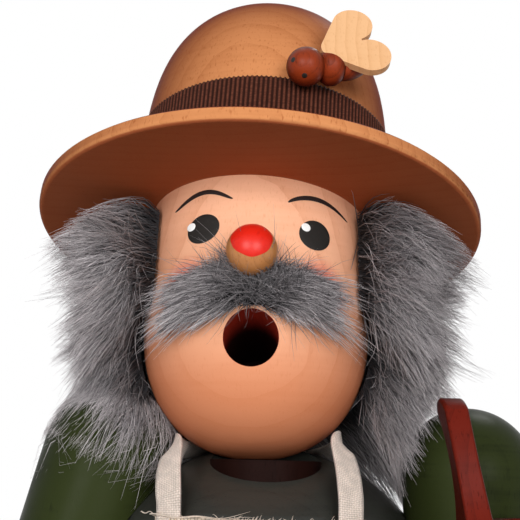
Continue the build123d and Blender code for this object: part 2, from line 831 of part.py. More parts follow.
def make_hand_left():
    """The palm under the pail, cut level where the pail stands."""
    palm = Pos(*left_hand) * Sphere(left_hand_radius)
    palm -= Pos(pail_x, pail_y, 0) * rod(left_hand_radius * 2, pail_foot_z, pail_rim_z)
    thumb_foot = (
        pail_x - left_hand_radius * left_thumb_foot_share,
        pail_y + left_hand_radius * left_thumb_back_share,
        elbow_z,
    )
    thumb_end = (
        pail_x - left_hand_radius * left_thumb_out_share,
        pail_y - left_hand_radius * left_thumb_front_share,
        elbow_z + left_hand_radius * left_thumb_rise_share,
    )
    thumb = peg_between(thumb_foot, thumb_end, thumb_radius) + Pos(*thumb_end) * Sphere(thumb_radius)
    palm += thumb
    return palm - peg_between(*hand_dowel_line_left(), arm_dowel_radius + dowel_gap)


def elbow_dowel_line():
    """Start and end of the dowel between upper arm and forearm."""
    start = point_on(elbow, left_shoulder, elbow_dowel_start_share)
    return start, point_on(elbow, left_shoulder, elbow_dowel_end_share)


def make_arm_left():
    """The upper arm beside the pail, coped to the torso and to the forearm."""
    end = point_on(left_shoulder, elbow, left_arm_length_share)
    arm = arm_bar(left_shoulder, end, arm_radius, elbow_radius)
    arm -= torso_clearance()
    arm -= arm_bar(elbow, left_wrist, elbow_radius + glue_gap, left_wrist_radius + glue_gap)
    start, end = arm_dowel_lines()[1]
    arm -= peg_between(start, end, arm_dowel_radius + dowel_gap)
    return arm - peg_between(*elbow_dowel_line(), arm_dowel_radius + dowel_gap)


def make_arm_dowels():
    """The five dowels of the arms, each a little shorter than its hole."""
    lines = arm_dowel_lines() + [hand_dowel_line_right(), hand_dowel_line_left(), elbow_dowel_line()]
    return Compound(children=[peg_between(start, end, arm_dowel_radius) for start, end in lines])


# The honey pail
def pail_side(stand):
    """The pail's outer curve, grown by stand, as an arc from foot to rim."""
    height = pail_rim_z - pail_foot_z
    foot = (pail_foot_radius + stand, pail_foot_z)
    middle = (pail_belly_radius + stand, pail_foot_z + height * pail_belly_share)
    return ThreePointArc(foot, middle, (pail_rim_radius + stand, pail_rim_z))


def pail_drum(stand):
    """The solid drum inside the pail's outer curve, grown by stand."""
    side = pail_side(stand)
    closing = Polyline(
        (pail_rim_radius + stand, pail_rim_z),
        (0, pail_rim_z),
        (0, pail_foot_z),
        (pail_foot_radius + stand, pail_foot_z),
    )
    return turned(side + closing)


def make_pail():
    """A turned pail with two raised hoops and an open top."""
    height = pail_rim_z - pail_foot_z
    body = pail_drum(0)
    for share in pail_hoop_shares:
        middle = pail_foot_z + height * share
        band = rod(pail_belly_radius * 2, middle - pail_hoop_width / 2, middle + pail_hoop_width / 2)
        body += pail_drum(pail_hoop_stand) & band
    inner = pail_foot_radius - pail_wall
    mouth = pail_rim_radius - pail_wall
    hollow = turned(Polyline(
        (0, pail_foot_z + pail_floor),
        (inner, pail_foot_z + pail_floor),
        (mouth, pail_rim_z),
        (mouth, pail_rim_z + overrun),
        (0, pail_rim_z + overrun),
        (0, pail_foot_z + pail_floor),
    ))
    return Pos(pail_x, pail_y, 0) * (body - hollow)


def make_pail_handle():
    """The tall handle: a leaning front view and a waisted side view cut from one board."""
    foot_x = handle_foot_outer_x
    width = handle_thickness
    outer = ThreePointArc(
        (foot_x, handle_foot_z),
        (foot_x - handle_mid_lean, handle_mid_z),
        (foot_x - handle_top_lean, handle_top_z),
    )
    top = Line((foot_x - handle_top_lean, handle_top_z), (foot_x - handle_top_lean + width, handle_top_z))
    inner = ThreePointArc(
        (foot_x - handle_top_lean + width, handle_top_z),
        (foot_x - handle_mid_lean + width, handle_mid_z),
        (foot_x + width + pail_wall, handle_foot_z),
    )
    foot = Line((foot_x + width + pail_wall, handle_foot_z), (foot_x, handle_foot_z))
    board = extrude(Plane.XZ * make_face(outer + top + inner + foot), handle_foot_width, both=True)
    half_foot = handle_foot_width / 2
    half_waist = handle_waist_width / 2
    half_top = handle_top_width / 2
    crest_z = handle_top_z - half_top / 2
    front = ThreePointArc((-half_foot, pail_rim_z), (-half_waist, handle_waist_z), (-half_top, crest_z))
    crest = ThreePointArc((-half_top, crest_z), (0, handle_top_z), (half_top, crest_z))
    back = ThreePointArc((half_top, crest_z), (half_waist, handle_waist_z), (half_foot, pail_rim_z))
    low = Polyline(
        (half_foot, pail_rim_z),
        (half_foot, handle_foot_z),
        (-half_foot, handle_foot_z),
        (-half_foot, pail_rim_z),
    )
    side_view = extrude(Plane.YZ * make_face(front + crest + back + low), pail_x)
    handle = Pos(0, pail_y, 0) * (board & side_view)
    curved = handle.edges().filter_by(GeomType.LINE, reverse=True)
    handle = fillet(curved.filter_by_position(Axis.Z, pail_rim_z, handle_top_z), handle_edge_round)
    return handle - Pos(pail_x, pail_y, 0) * pail_drum(pail_hoop_stand + glue_gap)


# The apron
def wave_points(radius, depth, z, half_angle):
    """Fold crests and valleys across the front at one height, from one side edge to the other."""
    count = skirt_folds * 2
    points = []
    for step in range(count * 2 + 1):
        angle = radians(-90 - half_angle + 2 * half_angle * step / (count * 2))
        swing = (0, 1, 0, -1)[step % 4]
        reach = radius + depth * swing
        points.append((reach * cos(angle), reach * sin(angle), z))
    return points


def wave_edges(points):
    """Arcs through each crest or valley."""
    edges = []
    for start in range(0, len(points) - 2, 2):
        edges.append(ThreePointArc(points[start], points[start + 1], points[start + 2]))
    return edges


def skirt_section(radius, depth, z):
    """A thin wavy face of the skirt at one height."""
    inner = wave_points(radius, depth, z, skirt_half_angle)
    outer = wave_points(radius + linen_thickness, depth, z, skirt_half_angle)
    edges = wave_edges(inner) + wave_edges(outer)
    edges.append(Line(inner[0], outer[0]))
    edges.append(Line(inner[-1], outer[-1]))
    return make_face(edges)


def make_apron():
    """Bib and skirt in one piece of linen, the skirt hanging in folds."""
    skirt = loft([
        skirt_section(skirt_hem_radius, skirt_hem_fold, skirt_hem_z),
        skirt_section(linen_inner_radius + skirt_waist_fold, skirt_waist_fold, waist_z),
    ], ruled=True)
    drum = rod(linen_outer_radius + skirt_waist_fold, waist_z, bib_top_z)
    drum -= rod(linen_inner_radius + skirt_waist_fold, waist_z - overrun, bib_top_z + overrun)
    reach = linen_outer_radius * 2
    side_x = reach * sin(radians(bib_half_angle))
    side_y = -reach * cos(radians(bib_half_angle))
    wedge = make_face(Polyline((0, 0), (side_x, side_y), (0, -reach * 2), (-side_x, side_y), (0, 0)))
    bib = drum & Pos(0, 0, waist_z - overrun) * extrude(wedge, bib_top_z - waist_z + overrun * 2)
    return skirt + bib


def make_neck_tape():
    """The tape loop from one bib corner behind the neck to the other, a loft of thin rectangles."""
    sections = []
    start = Vector(0, 0, shoulder_dome_top)
    points = [start + Vector(*shares[:3]) * torso_radius for shares in neck_tape_path_shares]
    last = len(points) - 1
    for number, point in enumerate(points):
        way = (points[min(number + 1, last)] - points[max(number - 1, 0)]).normalized()
        reach = hypot(point.X, point.Y)
        rise = neck_tape_path_shares[number][3] * atan2(point.Z - dome_centre_z, reach)
        outward = Vector(point.X, point.Y, reach * tan(rise))
        plane = Plane(origin=point, x_dir=way.cross(outward), z_dir=way)
        sections.append(plane * Rectangle(tape_width, tape_thickness))
    return loft(sections, ruled=True)


def make_waist_tape():
    """The tape round the back of the waist, from one side edge of the apron to the other."""
    top = waist_z
    foot = waist_z - tape_width
    band = rod(linen_outer_radius, foot, top) - rod(linen_inner_radius, foot - overrun, top + overrun)
    reach = linen_outer_radius * 2
    half_angle = skirt_half_angle + degrees(glue_gap / linen_outer_radius)
    side_x = reach * sin(radians(half_angle))
    side_y = -reach * cos(radians(half_angle))
    wedge = make_face(Polyline((0, 0), (side_x, side_y), (0, -reach * 2), (-side_x, side_y), (0, 0)))
    return band - Pos(0, 0, foot - overrun) * extrude(wedge, tape_width + overrun * 2)


def make_apron_bow():
    """The knot at the back with two flat loops and two hanging ends."""
    middle_z = waist_z - tape_width / 2
    seat = linen_outer_radius + soft_gap
    knot_y = seat + bow_knot_depth / 2
    bow = Pos(0, knot_y, middle_z) * Box(bow_knot_width, bow_knot_depth, tape_width)
    for side in (-1, 1):
        outer = Ellipse(bow_loop_length / 2, bow_loop_depth / 2)
        inner = Ellipse(bow_loop_length / 2 - tape_thickness, bow_loop_depth / 2 - tape_thickness)
        loop = extrude(outer - inner, tape_width / 2, both=True)
        loop_x = side * (bow_knot_width / 2 + bow_loop_length / 2 - tape_thickness / 2)
        bow += Pos(loop_x, knot_y, middle_z) * loop
        tail_width = tape_width * bow_tail_width_share
        tail = Pos(0, 0, -bow_tail_length / 2) * Box(tail_width, tape_thickness, bow_tail_length)
        bow += Pos(0, knot_y, middle_z) * Rot(0, side * bow_tail_splay, 0) * tail
    return bow


# Every named piece
pieces = {
    "base_disc": make_base_disc(),
    "hip_block": make_hip_block(),
    "leg_dowels": make_leg_dowels(),
    "incense_plate": make_incense_plate(),
    "plate_nail": make_plate_nail(),
    "torso": make_torso(),
    "neck_ring": make_neck_ring(),
    "head": make_head(),
    "nose": make_nose(),
    "hair": make_hair(),
    "moustache": make_moustache(),
    "hat_brim": make_hat_brim(),
    "hat_crown": make_hat_crown(),
    "hat_ribbon": make_hat_ribbon(),
    "hat_dowel": make_hat_dowel(),
    "bee_head": make_bee_head(),
    "bee_thorax": make_bee_thorax(),
    "bee_tail": make_bee_tail(),
    "bee_core": make_bee_core(),
    "bee_wings": make_bee_wings(),
    "wing_pin": make_wing_pin(),
    "arm_right": make_arm_right(),
    "hand_right": make_hand_right(),
    "arm_left": make_arm_left(),
    "forearm_left": make_forearm_left(),
    "hand_left": make_hand_left(),
    "arm_dowels": make_arm_dowels(),
    "pail": make_pail(),
    "pail_handle": make_pail_handle(),
    "apron": make_apron(),
    "neck_tape": make_neck_tape(),
    "waist_tape": make_waist_tape(),
    "apron_bow": make_apron_bow(),
}
for side, word in ((-1, "right"), (1, "left")):
    pieces["boot_" + word] = make_boot(side)
    pieces["leg_" + word] = make_leg(side)

os.makedirs("parts", exist_ok=True)
for name, solid in pieces.items():
    export_step(solid, "parts/" + name + ".step")
    print(name, "volume", round(solid.volume), "solids", len(solid.solids()))
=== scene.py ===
# %% [markdown]
# # A bearded incense smoker
# This lesson dresses a turned wooden figure: a beekeeper in a tall hat with a bee on its ribbon.
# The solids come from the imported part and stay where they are. Blender adds what solids are poor at:
# long fur, painted eyes, a ribbed ribbon, woven linen and the finish of every wood.

# %% Load the fixed frame
import math
from functools import partialmethod

import bpy
import numpy as np
from mathutils import Matrix, Vector


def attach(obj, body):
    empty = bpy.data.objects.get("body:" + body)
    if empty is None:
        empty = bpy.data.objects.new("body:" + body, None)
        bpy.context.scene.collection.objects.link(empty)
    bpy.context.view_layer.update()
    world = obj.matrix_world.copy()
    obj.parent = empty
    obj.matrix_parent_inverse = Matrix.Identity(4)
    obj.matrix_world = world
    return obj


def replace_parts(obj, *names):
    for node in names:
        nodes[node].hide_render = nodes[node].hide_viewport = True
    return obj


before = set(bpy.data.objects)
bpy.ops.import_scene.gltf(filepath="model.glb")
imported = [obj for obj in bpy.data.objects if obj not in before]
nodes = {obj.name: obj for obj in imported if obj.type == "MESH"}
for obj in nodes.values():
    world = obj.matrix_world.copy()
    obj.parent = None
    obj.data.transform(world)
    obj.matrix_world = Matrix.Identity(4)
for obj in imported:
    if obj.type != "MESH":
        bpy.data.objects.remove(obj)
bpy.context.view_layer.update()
print("nodes in the frame:", len(nodes))

# %% [markdown]
# ## Two leaning frames
# The head leans back on its neck and the hat leans a little more to one side. Every shape on them is
# worked out upright, in millimetres, and then placed by the same two turns as the solids.
# A turn is a 3 by 3 matrix, so a whole cloud of points moves in one product.

# %% Turns and places
MM = 0.001
UP = np.array([0, 0, 1.0])
BRIM_CENTRE = np.array([-2.5, 0.0, 238.0])
HEAD_TILT = math.radians(13.65)
HAT_LEAN = math.radians(2.18)


def turn_x(angle):
    """Rotation about X: y and z mix by the cosine and sine of the angle."""
    c, s = math.cos(angle), math.sin(angle)
    return np.array([[1, 0, 0], [0, c, -s], [0, s, c]])


def turn_y(angle):
    """Rotation about Y: z and x mix by the cosine and sine of the angle."""
    c, s = math.cos(angle), math.sin(angle)
    return np.array([[c, 0, s], [0, 1, 0], [-s, 0, c]])


HEAD_TURN = turn_x(-HEAD_TILT)
HAT_TURN = turn_y(HAT_LEAN) @ turn_x(-HEAD_TILT)


def on_head(points):
    """Head frame, millimetres, to the row frame, metres: turn, then shift to the brim's centre."""
    return (np.asarray(points) @ HEAD_TURN.T + BRIM_CENTRE) * MM


def on_hat(points):
    """Hat frame, millimetres, to the row frame, metres."""
    return (np.asarray(points) @ HAT_TURN.T + BRIM_CENTRE) * MM


def on_body(points):
    """The upright body's frame, millimetres, to the row frame, metres."""
    return np.asarray(points) * MM


def unit(vectors):
    """Vectors of length one: each is divided by its own length."""
    return vectors / np.linalg.norm(vectors, axis=-1, keepdims=True)


def polar(angle, radius, z):
    """Points (r sin a, -r cos a, z) from an angle in radians that is 0 at the front."""
    return np.stack(np.broadcast_arrays(radius * np.sin(angle), -radius * np.cos(angle), z), -1)


# %% [markdown]
# ## Surfaces on a grid
# Each new piece is a function of two parameters sampled on a grid. The quads between the samples are
# found by arithmetic on whole index arrays, so there is no loop over vertices.

# %% Mesh builders
def make_object(name, vertices, faces, material):
    """A smooth mesh from vertex and face arrays. It rides on the lifting half and takes a material."""
    mesh = bpy.data.meshes.new(name)
    mesh.vertices.add(len(vertices))
    mesh.vertices.foreach_set("co", np.asarray(vertices, np.float32).ravel())
    faces = np.asarray(faces, np.int32)
    mesh.loops.add(faces.size)
    mesh.loops.foreach_set("vertex_index", faces.ravel())
    mesh.polygons.add(len(faces))
    mesh.polygons.foreach_set("loop_start", np.arange(0, faces.size, faces.shape[1], dtype=np.int32))
    mesh.polygons.foreach_set("loop_total", np.full(len(faces), faces.shape[1], np.int32))
    mesh.update(calc_edges=True)
    mesh.validate()
    mesh.polygons.foreach_set("use_smooth", np.full(len(mesh.polygons), True))
    piece = bpy.data.objects.new(name, mesh)
    bpy.context.scene.collection.objects.link(piece)
    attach(piece, "upper")
    mesh.materials.append(material)
    return piece


def grid_faces(rows, columns, closed=False):
    """Quads of a grid whose vertex number is row * columns + column; closed joins the last column to the first."""
    r, c = np.meshgrid(np.arange(rows - 1), np.arange(columns if closed else columns - 1), indexing="ij")
    r2, c2 = r + 1, (c + 1) % columns
    quads = np.stack([r * columns + c, r * columns + c2, r2 * columns + c2, r2 * columns + c], -1)
    return quads.reshape(-1, 4)


def make_patch(name, points, place, material, closed=False):
    """A piece from a grid of points in millimetres, which the place function carries to the row frame."""
    rows, columns = points.shape[:2]
    return make_object(name, place(points.reshape(-1, 3)), grid_faces(rows, columns, closed), material)


def point_values(piece, label, values):
    """One number per vertex, for a shader to read."""
    attribute = piece.data.attributes.new(label, "FLOAT", "POINT")
    attribute.data.foreach_set("value", np.asarray(values, np.float32).ravel())


def woven(piece, u, v, thickness):
    """Cloth: a UV map in metres from one (u, v) pair per vertex, and an even thickness."""
    mesh = piece.data
    layer = mesh.uv_layers.new(name="cloth")
    corner = np.zeros(len(mesh.loops), np.int32)
    mesh.loops.foreach_get("vertex_index", corner)
    layer.data.foreach_set("uv", np.stack([u[corner], v[corner]], -1).astype(np.float32).ravel())
    solid = piece.modifiers.new("cloth", "SOLIDIFY")
    solid.thickness = thickness
    solid.offset = 0


# %% [markdown]
# ## The camera
# The photograph looks up at the face from just below it. The camera's place, its upward pitch of
# 11.7 degrees and its slight roll were found by matching measured points, such as the brim's rim.

# %% Camera
CAMERA_PLACE = (0.00195, -0.23633, 0.1811)
PITCH, YAW, ROLL = math.radians(11.7), math.radians(1.0), math.radians(1.5)
FOCAL_LENGTH, SENSOR_WIDTH = 67.28, 36
ahead = Vector((-math.sin(YAW) * math.cos(PITCH), math.cos(YAW) * math.cos(PITCH), math.sin(PITCH)))
level = Vector((math.cos(YAW), math.sin(YAW), 0))
upward = level.cross(ahead)
across = level * math.cos(ROLL) + upward * math.sin(ROLL)
upright = upward * math.cos(ROLL) - level * math.sin(ROLL)
lens = bpy.data.cameras.new("camera")
lens.lens = FOCAL_LENGTH
lens.sensor_width = SENSOR_WIDTH
lens.clip_start = 0.01
camera = bpy.data.objects.new("camera", lens)
camera.matrix_world = Matrix.Translation(CAMERA_PLACE) @ Matrix((across, upright, -ahead)).transposed().to_4x4()
bpy.context.scene.collection.objects.link(camera)
bpy.context.scene.camera = camera
bpy.context.scene.view_settings.view_transform = "Standard"
print("camera at", [round(v, 4) for v in CAMERA_PLACE])

# %% [markdown]
# ## Node trees as formulas
# Materials are node trees. A Wire is one output of a node, and arithmetic on wires adds the Math nodes,
# so that a tree reads like the formula that it stands for.

# %% Wires and nodes
class Wire:
    """One output of a node. Arithmetic with other wires and numbers makes Math nodes."""

    def __init__(self, tree, socket):
        self.tree, self.socket = tree, socket

    def __getitem__(self, name):
        """Another output of the same node, by name or number."""
        return Wire(self.tree, self.socket.node.outputs[name])

    def math(self, what, *others):
        """A Math node with this wire as its first value."""
        return add(self.tree, "ShaderNodeMath", {"operation": what}, self, *others)

    def vector(self, what, *others):
        """A Vector Math node; a length, a distance or a dot product gives a number."""
        result = add(self.tree, "ShaderNodeVectorMath", {"operation": what}, self, *others)
        return result["Value"] if what in ("LENGTH", "DISTANCE", "DOT_PRODUCT") else result

    def ramp(self, low, high, to_low=0.0, to_high=1.0):
        """The value between low and high, mapped smoothly to the range to_low..to_high."""
        settings = {"interpolation_type": "SMOOTHSTEP"}
        return add(self.tree, "ShaderNodeMapRange", settings, self, low, high, to_low, to_high)

    def blend(self, first, second):
        """A colour mix: first where this wire is 0, second where it is 1."""
        return mixed(self.tree, self, first, second)


# Python's own signs make the nodes, so that a + b adds and a > b compares two wires.
for operator, what in (("add", "ADD"), ("sub", "SUBTRACT"), ("mul", "MULTIPLY"), ("truediv", "DIVIDE"),
                       ("pow", "POWER"), ("lt", "LESS_THAN"), ("gt", "GREATER_THAN")):
    setattr(Wire, f"__{operator}__", partialmethod(Wire.math, what))


def srgb(red, green, blue):
    """A colour seen on a screen, 0 to 255, as the linear values that shaders use."""
    c = np.array([red, green, blue]) / 255
    return tuple(float(v) for v in np.where(c <= 0.04045, c / 12.92, ((c + 0.055) / 1.055) ** 2.4))


def put(value, socket):
    """A wire is linked to the socket. A number or vector becomes its value; a colour is one seen on a screen."""
    if isinstance(value, Wire):
        value.tree.links.new(value.socket, socket)
    elif socket.type == "RGBA":
        socket.default_value = (*srgb(*value), 1)
    else:
        socket.default_value = value


def add(tree, kind, settings=None, *values, **named):
    """The first output of a new node. Settings are its properties; values fill its sockets in order."""
    node = tree.nodes.new(kind)
    for key, value in (settings or {}).items():
        setattr(node, key, value)
    for socket, value in zip(node.inputs, values):
        put(value, socket)
    for label, value in named.items():
        put(value, node.inputs[label])
    return Wire(tree, node.outputs[0])


def mixed(tree, share, first, second):
    """A colour mix: first at share 0, second at share 1."""
    mix = add(tree, "ShaderNodeMix", {"data_type": "RGBA"}, share)
    for value, number in ((first, 6), (second, 7)):
        put(value, mix.socket.node.inputs[number])
    return mix[2]


def place_in(tree):
    """The shaded point in the object's own coordinates, which are the row frame's."""
    return add(tree, "ShaderNodeTexCoord")["Object"]


def noise(place, scale, detail, stretch=None, roughness=0.5):
    """Cloudy noise at a place, whose axes may first be stretched."""
    if stretch:
        place = add(place.tree, "ShaderNodeMapping", Vector=place, Scale=stretch)
    return add(place.tree, "ShaderNodeTexNoise", Vector=place, Scale=scale, Detail=detail, Roughness=roughness)


def attribute(tree, label):
    """A number that the mesh carries at its vertices."""
    return add(tree, "ShaderNodeAttribute", {"attribute_name": label})["Fac"]


def new_group(name, inputs, outputs):
    """An empty node group: inputs with their plain values, a colour being a tuple, and outputs. Only the
    output named Color is a colour."""
    group = bpy.data.node_groups.new(name, "ShaderNodeTree")
    for label, value in inputs.items():
        is_colour = isinstance(value, tuple)
        kind = "NodeSocketColor" if is_colour else "NodeSocketFloat"
        socket = group.interface.new_socket(label, in_out="INPUT", socket_type=kind)
        socket.default_value = (*value, 1) if is_colour else value
    for label in outputs:
        kind = "NodeSocketColor" if label == "Color" else "NodeSocketFloat"
        group.interface.new_socket(label, in_out="OUTPUT", socket_type=kind)
    inside = group.nodes.new("NodeGroupInput")
    outside = group.nodes.new("NodeGroupOutput")
    return group, Wire(group, inside.outputs[0]), outside.inputs


def use_group(tree, group, *values):
    """The first output of a group placed in a tree, with values for its inputs in order."""
    return add(tree, "ShaderNodeGroup", {"node_tree": group}, *values)


def new_material(name, roughness, **constants):
    """A material, its tree and the sockets of its Principled shader; constants go straight onto them."""
    material = bpy.data.materials.new(name)
    material.use_nodes = True
    sockets = material.node_tree.nodes["Principled BSDF"].inputs
    sockets["Roughness"].default_value = roughness
    for key, value in constants.items():
        sockets[key.replace("_", " ")].default_value = value
    return material, material.node_tree, sockets


def bump(height, distance, sockets):
    """Fine relief: the height as a wire, and its full depth in metres."""
    put(add(height.tree, "ShaderNodeBump", Height=height, Strength=1.0, Distance=distance), sockets["Normal"])


# %% [markdown]
# ## Turned wood
# A turned figure shows three things: growth rings cut by the lathe, so that flat layers of wood appear
# as nested arches on a dome; short dark pores along the grain; and faint circles left by the tool.
# Rings are the distance from a far pith line, bent by noise. The same group serves every wooden piece,
# with its own colours, ring width and pith.

# %% Shader group: turned wood
RING_WOBBLE = 0.0045
EARLY_WOOD, LATE_WOOD_POWER = 0.35, 5.0
wood, w_in, w_out = new_group(
    "turned_wood",
    {"Pith X": -0.01, "Pith Y": -0.09, "Ring Width": 0.003, "Ring Depth": 0.5, "Pore Depth": 0.4,
     "Lathe Depth": 0.2, "Blotch Depth": 0.3, "Pale": (0.6, 0.35, 0.18), "Dark": (0.4, 0.2, 0.09)},
    ("Color", "Roughness Shift", "Height"))
place = place_in(wood)
axes = add(wood, "ShaderNodeSeparateXYZ", Vector=place)
off_x = axes["X"] - w_in["Pith X"]
off_y = axes["Y"] - w_in["Pith Y"]
from_pith = (off_x * off_x + off_y * off_y).math("SQRT")
bent = noise(place, 38.0, 3.0) * RING_WOBBLE + from_pith
phase = (bent / w_in["Ring Width"]).math("FRACT")
ring = (phase ** LATE_WOOD_POWER + phase * EARLY_WOOD) * w_in["Ring Depth"]
pores = noise(place, 1.0, 2.0, stretch=(2600, 2600, 420)).ramp(0.56, 0.74) * w_in["Pore Depth"]
circles = (noise(place, 1.0, 2.0, stretch=(30, 30, 900)) - 0.5) * w_in["Lathe Depth"]
blotch = (noise(place, 60.0, 4.0, roughness=0.6) - 0.5) * w_in["Blotch Depth"]
darkness = add(wood, "ShaderNodeClamp", Value=ring + pores + (circles + blotch))
put(darkness.blend(w_in["Pale"], w_in["Dark"]), w_out["Color"])
put((pores + blotch) * 0.25, w_out["Roughness Shift"])
put(circles * 0.5 - pores, w_out["Height"])


def deepened_with_edge_shade(colour, edge_shade_share, edge):
    """Stain looks deeper where it is seen at a slant, through more of its thickness; here it also stands for painted
    shade towards the silhouettes: a mix towards the edge colour that grows with a power of the facing value."""
    slant = add(colour.tree, "ShaderNodeLayerWeight", Blend=0.5)["Facing"]
    return (slant ** 1.6 * edge_shade_share).blend(colour, edge)


def wood_material(name, pale, dark, roughness, varnish, depths, pith=(-0.01, -0.09), ring_width=0.003,
                  edge=None, relief=0.00004):
    """Turned wood between two screen colours. Varnish is the coat's weight and roughness and the bare wood's gloss;
    depths are those of rings, pores, lathe marks and blotches; edge is a share and a screen colour, painted shade
    towards the silhouettes."""
    coat, coat_roughness, gloss = varnish
    material, tree, sockets = new_material(
        name, roughness, Specular_IOR_Level=gloss, Coat_Weight=coat, Coat_Roughness=coat_roughness)
    parts = use_group(tree, wood, *pith, ring_width, *depths, pale, dark)
    colour = deepened_with_edge_shade(parts["Color"], *edge) if edge else parts["Color"]
    put(colour, sockets["Base Color"])
    put(parts["Roughness Shift"] + roughness, sockets["Roughness"])
    bump(parts["Height"], relief, sockets)
    return material, parts, sockets


def finish(node_names, material):
    """The material goes onto every solid that is named."""
    for node_name in node_names.split():
        for material_slot in nodes[node_name].material_slots:
            material_slot.material = material


# %% [markdown]
# ## Finishes of the solids
# The hat is lightly stained and satin. The arms wear a translucent green stain that gathers in bands,
# the body a thinner, nearly black one under varnish.

# %% Wooden finishes
# Painted shade: these edge colours, and the edge entries below, darken each piece towards its silhouette.
HAT_EDGE_SHADE, SKIN_EDGE_SHADE = (112, 42, 17), (182, 90, 52)
WOODS = (  # name, its nodes, pale and dark colour, roughness, varnish, depths, and what else is its own
    ("hat_wood", "hat_brim hat_crown", (218, 146, 94), (164, 90, 46), 0.45, (0, 0.15, 0.01), (0.2, 0.45, 0.4, 0.7),
     {"pith": (-0.018, -0.115), "ring_width": 0.0036}),
    ("skin_wood", "head", (246, 186, 150), (206, 132, 92), 0.42, (0.02, 0.35, 0.08), (0.22, 0.25, 0.35, 0.5),
     {"pith": (0.01, 0.12), "ring_width": 0.0045}),
    ("hand_wood", "hand_left hand_right", (238, 176, 136), (206, 134, 94), 0.42, (0.04, 0.35, 0.15),
     (0.12, 0.2, 0.3, 0.3), {"pith": (0.1, 0.12), "ring_width": 0.005, "edge": (0.7, SKIN_EDGE_SHADE)}),
    ("green_wood", "torso", (50, 51, 47), (18, 19, 17), 0.4, (0.3, 0.25, 0.12), (0.12, 0.4, 0.6, 0.6),
     {"relief": 0.00005}),
    ("sleeve_wood", "arm_left arm_right forearm_left", (46, 53, 25), (9, 12, 7), 0.42, (0.02, 0.3, 0.04),
     (0.12, 0.25, 0.9, 2.0), {"pith": (0.03, -0.1), "edge": (0.95, (14, 17, 10)), "relief": 0.00005}),
    ("trouser_wood", "hip_block leg_left leg_right", (112, 76, 48), (58, 34, 22), 0.45, (0.15, 0.3, 0.2),
     (0.35, 0.5, 0.6, 0.8), {}),
    ("boot_wood", "boot_left boot_right", (50, 34, 28), (20, 12, 10), 0.32, (0.6, 0.15, 0.2),
     (0.3, 0.4, 0.3, 0.8), {}),
    ("base_wood", "base_disc", (56, 68, 38), (20, 27, 15), 0.4, (0.2, 0.22, 0.2), (0.5, 0.5, 0.3, 1.2),
     {"ring_width": 0.005}),
    ("collar_wood", "neck_ring", (28, 12, 9), (11, 5, 4), 0.5, (0, 0.15, 0.03), (0.2, 0.5, 0.5, 0.6), {}),
    ("bee_wood", "bee_head bee_thorax bee_tail", (142, 54, 24), (56, 18, 9), 0.4, (0, 0.15, 0.12),
     (0.3, 0.4, 0.4, 1.4), {"ring_width": 0.0016, "edge": (0.95, (36, 12, 8))}),
    ("pail_wood", "pail pail_handle", (104, 28, 16), (48, 12, 7), 0.4, (0.02, 0.25, 0.04), (0.25, 0.6, 0.5, 0.9),
     {"edge": (0.9, (40, 14, 10))}),
    ("nose_wood", "nose", (190, 126, 72), (142, 86, 44), 0.35, (0.2, 0.15, 0.25), (0.25, 0.5, 0.2, 0.6),
     {"pith": (0.02, -0.05), "ring_width": 0.0015}),
    ("plain_wood", "bee_wings hat_dowel leg_dowels arm_dowels", (232, 182, 134), (206, 146, 94), 0.5,
     (0, 0.15, 0.1), (0.3, 0.3, 0.2, 0.4), {"pith": (0.06, -0.03), "ring_width": 0.0025}))
dressed = {}
for name, node_names, *look, more in WOODS:
    dressed[name] = wood_material(name, *look, **more)
    finish(node_names, dressed[name][0])
hat_parts, hat_sockets = dressed["hat_wood"][1:]
skin_parts, skin_sockets = dressed["skin_wood"][1:]

# %% [markdown]
# The underside of the brim is painted darker and redder, as painted shade: everything that faces down, from 0.4 mm
# over its plane downwards.

# %% Painted shade under the brim
UNDERSIDE_SHADE_TOP = 0.4 * MM
hat_up = HAT_TURN @ UP
brim_level = float(BRIM_CENTRE @ hat_up) * MM
sunk = place_in(hat_parts.tree).vector("DOT_PRODUCT", tuple(hat_up)) - brim_level
facing = add(hat_parts.tree, "ShaderNodeTexCoord")["Normal"].vector("DOT_PRODUCT", tuple(hat_up))
# Painted shade: downward faces below the brim's plane are mixed towards a darker, redder brown.
under = facing.ramp(-0.9, -0.6, 1.0, 0.0) * (sunk < UNDERSIDE_SHADE_TOP)
shaded_underside = mixed(hat_parts.tree, 0.8, hat_parts["Color"], (152, 68, 40))
hat_colour = under.blend(deepened_with_edge_shade(hat_parts["Color"], 1.3, HAT_EDGE_SHADE), shaded_underside)
put(hat_colour, hat_sockets["Base Color"])


# %% Metals
def metal_material(name, colour, dull, roughness):
    """Metal with fine scratches in its roughness and faint stains."""
    material, tree, sockets = new_material(name, roughness, Metallic=1.0)
    here = place_in(tree)
    put(noise(here, 260.0, 4.0).ramp(0.45, 0.75).blend(colour, dull), sockets["Base Color"])
    put(noise(here, 3200.0, 2.0) * 0.25 + (roughness - 0.1), sockets["Roughness"])
    return material


finish("incense_plate", metal_material("brass_plate", (206, 170, 98), (120, 92, 60), 0.32))
finish("plate_nail bee_core wing_pin", metal_material("steel", (200, 200, 200), (140, 140, 142), 0.28))
print("wooden finishes:", len(WOODS))

# %% [markdown]
# ## The head's surface
# Eyes, brows and cheeks are paint on a turned head. The head is a surface of revolution: a straight
# wall down to the cheeks, then an egg-shaped curve to the chin. Its radius as a function of the depth
# below the brim lets a painted patch follow the wood exactly.

# %% Head surface
HEAD_RADIUS, STRAIGHT, DEPTH_BELOW = 26.54, 25.42, 32.10
SLOPE_STEP = 0.05
DEEPEST = 57


def head_radius(depth):
    """Radius at a depth: constant to 25.42 mm, then cos(t)^0.92 where sin(t)^0.81 is the share of the lower part."""
    share = np.clip((np.asarray(depth, float) - STRAIGHT) / DEPTH_BELOW, 0, 1)
    sine = share ** (1 / 0.81)
    return HEAD_RADIUS * np.sqrt(np.clip(1 - sine ** 2, 0, 1)) ** 0.92


